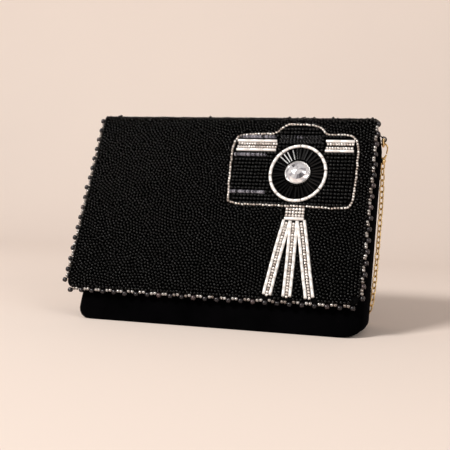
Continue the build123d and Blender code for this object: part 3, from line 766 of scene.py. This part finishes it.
def make_pouch():
    """The velvet pouch as one soft shell: across its base, up its walls, over the mouth's edge and
    a little way down inside. Rings of points run round it at each height."""
    base = [(0.75, 50.0), (0.7, 20.0), (0.35, 6.0), (0.1, 3.0), (0.02, 1.7), (0.15, 0.75), (0.7, 0.18)]
    heights = [z for z, _ in base] + list(np.linspace(1.8, POUCH_TOP - 1, 60))
    insets = [inset for _, inset in base] + [0.0] * 60
    heights += [POUCH_TOP, POUCH_TOP + 0.75, POUCH_TOP + 0.95, POUCH_TOP + 0.7, POUCH_TOP - 0.5]
    insets += [0.0, 0.35, 1.3, 2.3, 2.7]
    heights += list(np.linspace(POUCH_TOP - 3, POUCH_TOP - 9, 4))
    insets += [2.8, 2.85, 2.85, 2.85]
    z = np.array(heights)
    rings = pouch_ring(z, insets, 2.6, 1.1)
    wall = np.clip((z - 6) / 20, 0, 1)[:, None] * np.clip((POUCH_TOP - z) / 30, 0, 1)[:, None]
    ripple = np.sin(rings[..., 0] / 23.0 + 1.3) * np.sin(rings[..., 2] / 17.0 + 0.4) * 0.3 * wall
    facing = np.sign(rings[..., 1] - rings[..., 1].mean(axis=1, keepdims=True))
    rings[..., 1] += ripple * facing * (np.abs(rings[..., 0]) < 78)
    first = rings[0].mean(axis=0)
    rings = np.concatenate([np.broadcast_to(first, rings[:1].shape), rings])
    faces = grid_faces(len(rings), rings.shape[1], False, True)[:, ::-1]
    replaced = ["front_panel", "back_panel", "left_gusset", "right_gusset", "base_panel", "mouth_binding"]
    shell = piece("velvet_shell", rings, faces, VELVET, "pouch", "velvet", weld=True, replaces=replaced)
    thickened(shell, 0.7)


def make_lining():
    """The satin lining: a bag inside the pouch, with soft upright folds."""
    z = np.r_[2.9, 2.9, 3.0, 3.4, 4.4, np.linspace(7, POUCH_TOP - 6, 40)]
    insets = np.r_[20.0, 9.0, 4.6, 3.4, 3.1, np.full(40, 3.0)]
    rings = pouch_ring(z, insets, 3.0, 0.0)
    share = np.clip((z - 8) / 30, 0, 1)[:, None] * np.clip((POUCH_TOP - 4 - z) / 12, 0, 1)[:, None]
    middle = rings.mean(axis=1, keepdims=True)
    fold = 0.35 * np.sin(rings[..., 0] / 3.1 + 0.6 * np.sin(z / 15.0)[:, None]) * share
    rings[..., 1] -= np.sign(rings[..., 1] - middle[..., 1]) * (0.35 * share + fold * 0.9)
    rings = np.concatenate([np.broadcast_to(rings[0].mean(axis=0), rings[:1].shape), rings])
    faces = grid_faces(len(rings), rings.shape[1], False, True)
    made = piece("satin_lining", rings, faces, SATIN, "pouch", "satin", weld=True, replaces=["lining"])
    thickened(made, 0.3)


def slab_rings(q, low, high, half, corner_reach):
    """Rings round a strip of the flap: at each q a flat loop with round edges, from level low to
    level high and across to half. Near the lower end it narrows by corner_reach."""
    cosine, sine = np.cos(spread(96))[None, :], np.sin(spread(96))[None, :]
    q, low, high = [np.asarray(value, float)[:, None] for value in (q, low, high)]
    width = half
    if corner_reach:
        near = np.clip((corner_reach - (q - rise_to_q(FLAP_BOTTOM))) / corner_reach, 0, 1)
        width = half - corner_reach + corner_reach * np.sqrt(np.clip(1 - near ** 2, 0, 1))
    thick = (high - low) / 2
    x = np.sign(cosine) * np.minimum(np.abs(cosine) * EDGE_SHARE, 1.0) * (width - thick)
    side = np.clip((np.abs(cosine) - 1 / EDGE_SHARE) / (1 - 1 / EDGE_SHARE), 0, 1)
    x = x + np.sign(cosine) * thick * np.sin(side * math.pi / 2)
    level = (low + high) / 2 + np.sign(sine) * thick * np.cos(side * math.pi / 2)
    return cloth_point(x, q + 0 * x, level)


def closed_strip(name, q, low, high, half, body=None, replaces=(), corner=0.0, material=CLOTH,
                 slot="ground_cloth"):
    """A closed strip of cloth between two stations, with both ends drawn shut."""
    q = np.asarray(q, float)
    middle = (low + high) / 2
    low, high = [np.r_[middle, np.full(len(q), level), middle] for level in (low, high)]
    rings = slab_rings(np.r_[q[0], q, q[-1]], low, high, half, corner)
    faces = grid_faces(len(rings), rings.shape[1], False, True)
    return piece(name, rings, faces, material, body, slot, weld=True, replaces=replaces)


def make_flap_cloth():
    """The stiffened cloth under the beads: the flap, the two creases, the top strip and the back,
    and the satin inside."""
    start = rise_to_q(FLAP_BOTTOM)
    close = [start + step for step in (0.02, 0.3, 0.8, 1.6, 2.8, 4.2, 5.0)]
    front = np.r_[close, np.linspace(start + 8, -0.6, 30)]
    closed_strip("flap_cloth_front", front, 0.3, CORE, FLAP_HALF, "flap", ["flap_cloth"], 5.0)
    roll = np.linspace(-0.9, Q_TOP + 0.3, 14)
    roll = closed_strip("flap_cloth_front_crease", roll, 0.25, CORE - 0.02, FLAP_HALF - 0.05)
    crease_blend(roll, "front")
    top = np.linspace(Q_TOP, Q_BACK - 1.3, 12)
    closed_strip("flap_cloth_top", top, 0.3, CORE, FLAP_HALF, "flap_spine", ["spine_cloth"])
    roll = np.linspace(Q_BACK - 1.6, Q_DOWN + 0.4, 20)
    roll = closed_strip("flap_cloth_back_crease", roll, 1.72, CORE - 0.02, FLAP_HALF - 1.0)
    crease_blend(roll, "back")
    back = np.linspace(Q_DOWN, Q_END, 10)
    closed_strip("flap_cloth_back", back, 1.72, CORE, ANCHOR_HALF, "pouch", ["anchor_cloth"])
    for name, q, body, replaced in (
            ("flap_satin", np.linspace(start + 1.2, -0.5, 30), "flap", "flap_lining"),
            ("top_satin", np.linspace(Q_TOP + 0.4, Q_BACK - 1.0, 10), "flap_spine", "spine_lining")):
        closed_strip(name, q, 0.0, 0.34, FLAP_HALF - 1.4, body, [replaced], 0.0, SATIN, "satin")


def make_field():
    """The black seed beads: over the whole flap, its top and the strip on the back, each lying
    flat, turned any way that the sewing took it."""
    spots = scattered()
    x, q = spots.T
    flat = np.stack([x, q + CREASE_RISE], -1)
    grown = CAMERA_MIDDLE + (np.array(CAMERA) - CAMERA_MIDDLE) * (1 + 1.0 / 30)
    taken = inside(flat, grown) | inside(flat, np.array(NECK) + [(-1, 1), (1, 1), (1, -1), (-1, -1)])
    for leg in LEGS.values():
        for start, end in zip(leg, leg[1:]):
            taken |= beside(flat, start, end, LEG_MARGIN)
    near_corner = (np.abs(x) > FIELD_HALF - 3) & (flat[:, 1] < FLAP_BOTTOM + 4.5)
    beyond = (q > Q_DOWN - 1.5) & (np.abs(x) > ANCHOR_HALF - 1)
    spots = spots[~taken & ~near_corner & ~beyond]
    x, q = spots.T
    count = len(spots)
    angle = 2.2 * np.sin(x / 9.0 + 1.4 * np.sin(q / 6.0)) + 2.6 * np.cos(q / 7.0)
    angle = angle + RNG.normal(0, 0.8, count)
    shape = bead(SEED_RADIUS, SEED_LENGTH, around=8, section=5)
    size = RNG.uniform(0.93, 1.07, count)
    level = CORE + SEED_RADIUS * 0.85 + RNG.uniform(-0.12, 0.22, count)
    proud = (q > -2) & (q < Q_BACK) & (RNG.random(count) < PROUD_SHARE)
    level = level + proud * PROUD_RISE
    frames = cloth_frames(q, angle)
    roll = RNG.normal(0, 0.22, (count, 3))
    along = frames[:, :, 0] + frames[:, :, 2] * roll[:, :1]
    frames = frames_from(along, frames[:, :, 2] + frames[:, :, 1] * roll[:, 1:2])
    centres = cloth_point(x, q, level)
    tone = RNG.random(count) ** 1.6
    front, crease_end, back_start = q < -1.4, Q_TOP + 1.0, Q_BACK - 0.6
    strips = [
        ("front_left", front & (x < -28), "flap", ["bead_field"]),
        ("front_middle", front & (np.abs(x - 6) <= 34), "flap", []),
        ("front_right", front & (x > 40), "flap", []),
        ("front_crease", (q >= -1.4) & (q < crease_end), "front", []),
        ("top", (q >= crease_end) & (q < back_start), "flap_spine", ["spine_beads"]),
        ("back_crease", (q >= back_start) & (q < Q_DOWN + 0.6), "back", []),
        ("back", q >= Q_DOWN + 3.4, "pouch", ["anchor_beads"]),
    ]
    for name, pick, body, replaced in strips:
        points, faces = copies(shape, centres[pick], frames[pick], size[pick])
        crease = body in ("front", "back")
        made = piece("seed_beads_" + name, points, faces, BLACK, None if crease else body, "black_beads",
                     tone=np.repeat(tone[pick], len(shape[0])), replaces=replaced)
        if crease:
            crease_blend(made, body)


def make_edge(name, path, side, node):
    """Edge beadwork along a line: a large dark bead at each stop, and two silver-lined seed beads
    between one large bead and the next, all threaded along the cloth's very edge."""
    path = np.asarray(path, float)
    places, along = resampled(path, RIM_PITCH)
    along = unit(along)
    outer = np.stack([along[:, 1], -along[:, 0]], -1) * side
    angle = np.arctan2(along[:, 1], along[:, 0])
    big = bead(1.45, 2.45, hole=0.25, around=14, section=9, square=0.9)
    shake = RNG.normal(0, 0.16, (len(places), 1))
    sew(f"{name}_large", big, places + outer * (1.5 + shake), angle, -0.55 + 0.5 * shake[:, 0], RIM,
        slot="rim_beads", tone=(0.0, 1.0, 1.6), wobble=0.14, replaces=[node])
    middles = (places[1:] + places[:-1]) / 2 + outer[1:] * 0.55
    seed = bead(1.0, 1.75, hole=0.35, around=11, section=7)
    pairs = np.concatenate([middles + along[1:] * step for step in (-0.95, 0.95)])
    pairs = pairs + RNG.normal(0, 0.14, pairs.shape)
    sew(f"{name}_pairs", seed, pairs, np.tile(angle[1:], 2), -0.1, EDGE_SILVER, slot="silver_beads",
        tone=(0.0, 1.0, 1.3), wobble=0.25)


def make_edges():
    """The three beaded edges of the flap."""
    low, high = FLAP_BOTTOM + 4.4, CREASE_RISE - 0.4
    reach = FLAP_HALF - 3.2
    make_edge("left_edge", [(-FLAP_HALF, low), (-FLAP_HALF, high)], -1, "edge_beads_left")
    make_edge("right_edge", [(FLAP_HALF, low), (FLAP_HALF, high)], 1, "edge_beads_right")
    make_edge("bottom_edge", [(-reach, FLAP_BOTTOM), (reach, FLAP_BOTTOM)], 1, "edge_beads_bottom")


def make_camera_motif():
    """The beaded camera: its outline, its rows of black sequins and beads, and the bright bars."""
    seed = bead(0.78, 1.62, hole=0.35, around=9, section=6)
    outline = softened(CAMERA, 2)
    places, along = resampled(outline, 1.82, closed=True)
    places = places + RNG.normal(0, 0.12, places.shape)
    sew("camera_outline_beads", seed, places, np.arctan2(along[:, 1], along[:, 0]), 0.8, SILVER,
        tone=(0.0, 0.8, 1.0), wobble=0.14, replaces=["camera_outline"])
    inner = CAMERA_MIDDLE + (outline - CAMERA_MIDDLE) * 0.955
    rows = np.arange(75.6, 127.6, 2.35)
    columns = np.arange(1.0, 79.0, 2.1)
    grid = np.stack(np.meshgrid(columns, rows), -1).reshape(-1, 2)
    grid = grid + RNG.normal(0, 0.08, grid.shape)
    x, rise = grid.T
    free = inside(grid, inner)
    free &= np.hypot((x - LENS[0]) / (LENS_ACROSS + LENS_MARGIN),
                     (rise - LENS[1]) / (LENS_UP + LENS_MARGIN)) > 1
    free &= ~((rise > 109.2) & (rise < 118.4) & ((x < 29.4) | (x > 56.4)))
    for height, reach, end in ((107.2, 1.3, 23), (82.4, 1.3, 26), (119.6, 1.1, 28)):
        free &= ~((np.abs(rise - height) < reach) & (x < end))
    black_seed = bead(0.95, 1.8, hole=0.3, around=9, section=6)
    sew("camera_body_beads", black_seed, grid[free], 0.0, 0.75, BLACK_BUGLE, slot="sequins",
        tone=(0, 1, 1.4), wobble=0.12, replaces=["camera_body"])
    under = bead(1.2, 0.5, hole=0.2, around=10, section=4)
    rows = [(4.2, 22.8, 107.2), (4.8, 25.4, 82.4), (6.0, 27.4, 119.5)]
    places = np.concatenate([in_rows(np.arange(a, b, 0.95), [rise]) for a, b, rise in rows])
    sew("grey_sequins", under, places, 0.0, 0.85, SEQUIN, slot="grey_sequins", tone=(0.35, 1.0, 1.0),
        tilt=SEQUIN_LEAN, wobble=0.08, replaces=["sequin_rows"])
    hump = np.stack(np.meshgrid(np.arange(31.5, 55.0, 1.9), [116.6, 119.2]), -1).reshape(-1, 2)
    sew("hump_sequins", under, hump, 0.0, 1.0, SEQUIN, slot="sequins", tone=(0.0, 0.62, 2.2),
        tilt=SEQUIN_LEAN, wobble=0.1)
    make_bars("left_bar", "left_bar_beads", (4.2, 28.4), 110.5, 116.6)
    make_bars("right_bar", "right_bar_beads", (57.6, 74.4), 110.5, 117.0)


def in_rows(across, rises):
    """Places at the same distances across in each of some rows."""
    return np.concatenate([np.stack([across, 0 * across + rise], -1) for rise in rises])


def make_bars(name, node, ends, low, high):
    """Two lines of long white bugles with two rows of silver-lined seed beads between them."""
    length = (ends[1] - ends[0]) / round((ends[1] - ends[0]) / 8.2)
    across = np.arange(ends[0] + length / 2, ends[1], length)
    shape = bugle(0.92, length - 0.12, around=12)
    sew(f"{name}_bugles", shape, in_rows(across, (low, high)), 0.0, 0.95, WHITE, slot="white_bugles",
        tone=(0.5, 1, 1), replaces=[node])
    seed = bead(0.9, 1.45, hole=0.35, around=9, section=6)
    across = np.arange(ends[0] + 1.0, ends[1] - 0.4, 1.62)
    places = np.concatenate([in_rows(across, [low + BAR_ROW_STEP]),
                             in_rows(across + 0.4, [high - BAR_ROW_STEP])])
    sew(f"{name}_seeds", seed, places, 0.0, 0.85, SILVER, tone=(0.15, 0.95, 1), wobble=0.12)


def round_lens(turn, across, up):
    """Places on an oval round the lens's middle."""
    return np.stack([LENS[0] + across * np.cos(turn), LENS[1] + up * np.sin(turn)], -1)


def make_lens():
    """The lens: a ring of white bugles, black bugles like spokes, small black beads round the
    crystal, and the crystal in its cup."""
    step = 2 * math.pi / LENS_BUGLES
    turn = np.arange(LENS_BUGLES) * step + RNG.normal(0, 0.012, LENS_BUGLES)
    shape = bugle(0.95, (LENS_ACROSS + LENS_UP) / 2 * step - 0.1, around=12)
    lie = np.arctan2(LENS_UP * np.cos(turn), -LENS_ACROSS * np.sin(turn))
    sew("lens_ring_bugles", shape, round_lens(turn, LENS_ACROSS, LENS_UP), lie, 1.05, WHITE,
        slot="white_bugles", tone=(0.5, 1, 1), wobble=0.02, replaces=["lens_ring"])
    turn = np.arange(SPOKES) * 2 * math.pi / SPOKES + RNG.normal(0, 0.03, SPOKES)
    sew("lens_spoke_bugles", bugle(0.66, 7.0, around=7), round_lens(turn, 11.8, 12.5), turn, 0.75,
        BLACK_BUGLE, slot="black_bugles", replaces=["lens_spokes"], smooth=False)
    turn = np.arange(34) * 2 * math.pi / 34
    sew("crystal_surround", bead(0.7, 1.2, around=8, section=5), round_lens(turn, 7.75, 7.75),
        turn + math.pi / 2, 0.8, BLACK, slot="black_beads")
    make_crystal()


def on_lens(points, lift):
    """Moves points whose Z is outward to the lens, lifted from the cloth."""
    centre = cloth_point(LENS[0], rise_to_q(LENS[1]), CORE + lift)
    turning = np.stack([X_AXIS, UP_FRONT, OUT_FRONT], -1)
    return points @ turning.T + centre


def make_crystal():
    """The crystal: rings of eight and sixteen points joined by flat facets, from the girdle over two
    rows of crown facets to a small table, with a cup beneath it. Each facet's colour is a painted
    reflection, light or dark, and facets towards the right are painted dark more often, as painted shade."""
    cup = turned([(0.0, 0.0), (6.4, 0.0), (7.3, 0.5), (7.45, 1.6), (7.2, 1.9), (6.9, 1.6), (6.8, 0.9),
                  (0.0, 0.7)])
    piece("crystal_cup", on_lens(cup[0], 0.3), cup[1], NICKEL, "flap", "setting", weld=True,
          replaces=["crystal_setting"])
    turn = np.arange(16) * math.pi / 8
    levels = [(0.0, 0.8, 0.0), (0.93, 0.8, 0.0), (1.0, 1.5, 0.0), (0.985, 1.9, 0.5), (0.74, 3.3, 0.0),
              (0.40, 4.4, 0.5), (0.0, 4.95, 0.0)]
    rings = np.stack([np.stack([CRYSTAL_RADIUS * r * np.cos(turn + s * math.pi / 8),
                                CRYSTAL_RADIUS * r * np.sin(turn + s * math.pi / 8), 0 * turn + z], -1)
                      for r, z, s in levels])
    faces = grid_faces(len(levels), 16, False, True)[:, ::-1]
    loose = rings.reshape(-1, 3)[faces.ravel()]
    split = np.arange(faces.size).reshape(-1, 4)
    # Painted reflections: a random lightness for each facet, and facets further to the right are painted
    # dark more often, as painted shade on that side.
    light = RNG.random(len(faces)) ** 0.55
    facing = (loose.reshape(-1, 4, 3).mean(axis=1)[:, 0] + 3.0) / 10.0
    light = np.clip(light - 0.45 * (RNG.random(len(faces)) < 0.25 + 0.2 * facing), 0, 1)
    piece("cut_crystal", on_lens(loose, 0.3), split, CRYSTAL_PAINTED_REFLECTIONS, "flap", "crystal", smooth=False,
          tone=np.repeat(light, 4), replaces=["lens_crystal"])


def make_tripod():
    """The tripod: three rows of seed beads and a bar for its neck, and three legs, each two rows of
    white bugles with silver-lined seed beads between."""
    seed = bead(0.95, 1.7, hole=0.35, around=9, section=6)
    places = in_rows(np.linspace(39.9, 49.3, 6), (72.1, 70.1, 68.1))
    sew("neck_seeds", seed, places, 0.0, 0.85, SILVER, tone=(0.2, 1, 0.8), wobble=0.12,
        replaces=["tripod_neck"])
    sew("neck_bar", bugle(0.95, 11.2, around=12), [(44.6, 66.1)], 0.0, 1.0, WHITE, slot="white_bugles",
        tone=(0.6, 1, 1))
    for name, line in LEGS.items():
        make_leg(name, line)


def make_leg(name, line):
    """One leg of the tripod, along a line that bends a little."""
    line = softened(line, 2, closed=False)
    outer = 1.85 if name != "tripod_right_leg" else 2.0
    for side in (-1, 1):
        places, along = resampled(line, 5.1)
        along = unit(along)
        beside_line = np.stack([along[:, 1], -along[:, 0]], -1)
        middles = (places[1:] + places[:-1]) / 2 + side * outer * beside_line[1:]
        pitch = np.linalg.norm(places[1] - places[0])
        angle = np.arctan2(*(places[1:] - places[:-1]).T[::-1])
        word = "right" if side > 0 else "left"
        sew(f"{name}_{word}_bugles", bugle(0.92, pitch - 0.12, around=10), middles, angle, 0.95, WHITE,
            slot="white_bugles", tone=(0.3, 1, 0.8), wobble=0.02,
            replaces=[name] if side > 0 else ())
    places, along = resampled(line, 1.75)
    seed = bead(0.85, 1.55, hole=0.35, around=9, section=6)
    sew(f"{name}_seeds", seed, places[1:], np.arctan2(along[1:, 1], along[1:, 0]), 0.8, SILVER,
        tone=(0.0, 0.95, 1.0), wobble=0.12)


def make_snap():
    """The magnetic snap: a dished socket on the pouch and a stud on the flap, both turned."""
    socket = turned([(0.0, 0.4), (3.2, 0.4), (3.4, 0.6), (3.5, 1.45), (3.8, 1.6), (6.3, 1.5), (6.9, 1.1),
                     (7.0, 0.1), (0.0, 0.1)])
    stud = turned([(0.0, 2.9), (7.0, 2.9), (7.0, 2.3), (6.7, 1.95), (3.1, 1.9), (2.8, 1.7), (2.7, 0.95),
                   (2.3, 0.75), (0.0, 0.75)])
    turning = np.stack([X_AXIS, UP_FRONT, OUT_FRONT], -1)
    centre = FOOT + [FLAP_OFFSET, 0.0, 0.0] + SNAP_RISE * UP_FRONT
    piece("socket_half", socket[0] @ turning.T + centre, socket[1][:, ::-1], NICKEL, "pouch", "snap_metal",
          weld=True, replaces=["snap_socket"])
    piece("stud_half", stud[0] @ turning.T + centre, stud[1], NICKEL, "flap", "snap_metal", weld=True,
          replaces=["snap_stud"])


def tapered(path, sizes, section=circle(1.0, 12)):
    """A section carried along a path that lies level with Y, with a size at each point and closed
    at both ends."""
    path = np.asarray(path, float)
    ends = np.vstack([path[:1], path, path[-1:]])
    scale = np.r_[0.0, sizes, 0.0]
    step = np.gradient(path, axis=0)
    frames = frames_from(np.vstack([step[:1], step, step[-1:]]), Y_AXIS)
    offset = frames[:, None, :, 1] * section[None, :, :1] + frames[:, None, :, 2] * section[None, :, 1:]
    points = ends[:, None, :] + offset * scale[:, None, None]
    return points, grid_faces(len(ends), len(section), False, True)


def make_hardware(side, word):
    """One side's D-ring, clasp, gate and tab."""
    x = side * RING_X + MIDDLE_X
    middle = np.array([x, RING_Y, RING_BAR_Z])
    turn = np.linspace(math.pi, 2 * math.pi, 22)
    arc = np.stack([0 * turn, RING_HALF * np.cos(turn), RING_HALF * np.sin(turn)], -1)
    bar = np.stack([np.zeros(8), np.linspace(RING_HALF, -RING_HALF, 10)[1:-1], np.zeros(8)], -1)
    wire, faces = carried(np.vstack([arc, bar]) + middle, circle(0.75, 12), closed=True, outward=X_AXIS)
    piece(f"{word}_d_ring", wire, faces, GOLD, f"{word}_ring", "gold_metal", replaces=[f"{word}_ring"])

    def made(name, path, sizes, body, replaces=(), material=GOLD, slot="gold_metal", turn_over=side < 0,
             **section):
        """One closed piece along a path of (towards this side, height), moved to the ring's place."""
        path = np.asarray(path, float)
        path = np.stack([path[:, 0] * side + x, 0 * path[:, 0] + RING_Y, path[:, 1]], -1)
        points, faces = tapered(path, sizes, **section)
        piece(f"{word}_{name}", points, faces[:, ::-1] if turn_over else faces, material, body, slot,
              weld=True, replaces=replaces)

    bend = np.radians(np.linspace(-12, 205, 26))
    head = np.stack([2.5 * np.cos(bend), 104.3 + 2.5 * np.sin(bend)], -1)
    spine = [(-2.35, 102.4), (-2.1, 101.0), (-1.75, 99.6), (-1.2, 98.4), (-0.2, 97.7), (0.9, 98.2),
             (1.5, 99.2), (1.85, 100.2)]
    radii = np.r_[np.linspace(0.42, 0.5, 8), np.full(18, 0.5), np.linspace(0.52, 0.8, 5), [0.75, 0.6, 0.5]]
    made("clasp_hook", np.vstack([head, spine]), radii * 1.05, "pouch", [f"{word}_clasp"])
    tail = [(0, 98.3), (0, 97.0), (0, 96.2), (0, 95.4), (0, 94.8), (0, 94.2)]
    made("clasp_tail", tail, [1.0, 1.7, 1.9, 1.5, 0.95, 0.7], "pouch", turn_over=False,
         section=circle(1.0, 16))
    lever = [(1.98, 100.75), (2.15, 101.6), (2.35, 102.6), (2.5, 103.4), (2.5, 104.0)]
    made("clasp_gate", lever, [0.34, 0.46, 0.46, 0.44, 0.36], f"{word}_gate", [f"{word}_gate"])
    turn = np.radians(np.linspace(-150, 128, 30))
    loop = np.stack([1.5 * np.cos(turn), 1.5 * np.sin(turn)], -1) + [0.0, RING_BAR_Z]
    leg = np.array([(-1.9, RING_BAR_Z + 2.0), (-2.9, RING_BAR_Z + 3.2), (-3.1, RING_BAR_Z + 3.9)])
    cosine, sine = np.cos(spread(24)), np.sin(spread(24))
    cloth = np.stack([0.33 * np.sign(sine) * np.abs(sine) ** 0.8,
                      2.45 * np.sign(cosine) * np.abs(cosine) ** 0.35], -1)
    strip = np.vstack([loop, leg])
    made("tab_loop", strip, np.ones(len(strip)), "pouch", [f"{word}_ring_tab"], VELVET, "velvet",
         turn_over=side > 0, section=cloth)


def finish_cad_nodes():
    """Materials for the boards and washers, which keep their own shapes."""
    plain = {
        "front_board": BOARD, "back_board": BOARD, "base_board": BOARD, "flap_board": BOARD,
        "spine_board": BOARD, "snap_socket_washer": NICKEL, "snap_stud_washer": NICKEL,
    }
    for name, material in plain.items():
        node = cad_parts[name]
        if node.material_slots:
            for slot in node.material_slots:
                slot.material = material
        else:
            node.data.materials.append(material)


def make_stage():
    """A pale surface that curves up behind the bag into a backdrop."""
    turn = np.linspace(0, math.pi / 2, 24)
    depth = np.r_[-1400.0, -300.0, 420.0 + 500.0 * np.sin(turn), 920.0]
    height = np.r_[0.0, 0.0, 500.0 - 500.0 * np.cos(turn), 2400.0]
    across = np.array([-2200.0, 0.0, 2200.0])
    points = np.stack(np.broadcast_arrays(across[None, :], depth[:, None], height[:, None]), -1)
    drop = mesh_object("backdrop", points, grid_faces(len(depth), 3)[:, ::-1], backdrop_finish())


def make_light(name, place, aim, size, power, colour):
    """A soft square light that faces a point."""
    data = bpy.data.lights.new(name, "AREA")
    data.size = size
    data.energy = power
    data.color = colour
    lamp = bpy.data.objects.new(name, data)
    lamp.location = place
    back = unit(np.array(place) - np.array(aim))
    lamp.rotation_euler = (math.acos(back[2]), 0.0, math.atan2(back[1], back[0]) + math.pi / 2)
    bpy.context.scene.collection.objects.link(lamp)


def make_lights():
    """A large soft light from the upper left, a weaker one from the right, and a pale room."""
    make_light("key", (-0.9, -1.1, 1.2), (0, 0, 0.05), 0.45, 32.0, (1.0, 0.97, 0.93))
    make_light("fill", (1.1, -0.8, 0.7), (0, 0, 0.06), 0.9, 6.0, (1.0, 0.96, 0.92))
    world = bpy.data.worlds.new("room")
    world.use_nodes = True
    world.node_tree.nodes["Background"].inputs["Color"].default_value = (1.0, 0.95, 0.9, 1.0)
    world.node_tree.nodes["Background"].inputs["Strength"].default_value = 0.38
    bpy.context.scene.world = world
    bpy.context.scene.view_settings.view_transform = "Standard"


make_pouch()
make_lining()
make_flap_cloth()
make_field()
make_edges()
make_camera_motif()
make_lens()
make_tripod()
make_snap()
make_hardware(1, "right")
make_hardware(-1, "left")
finish_cad_nodes()
make_stage()
make_lights()
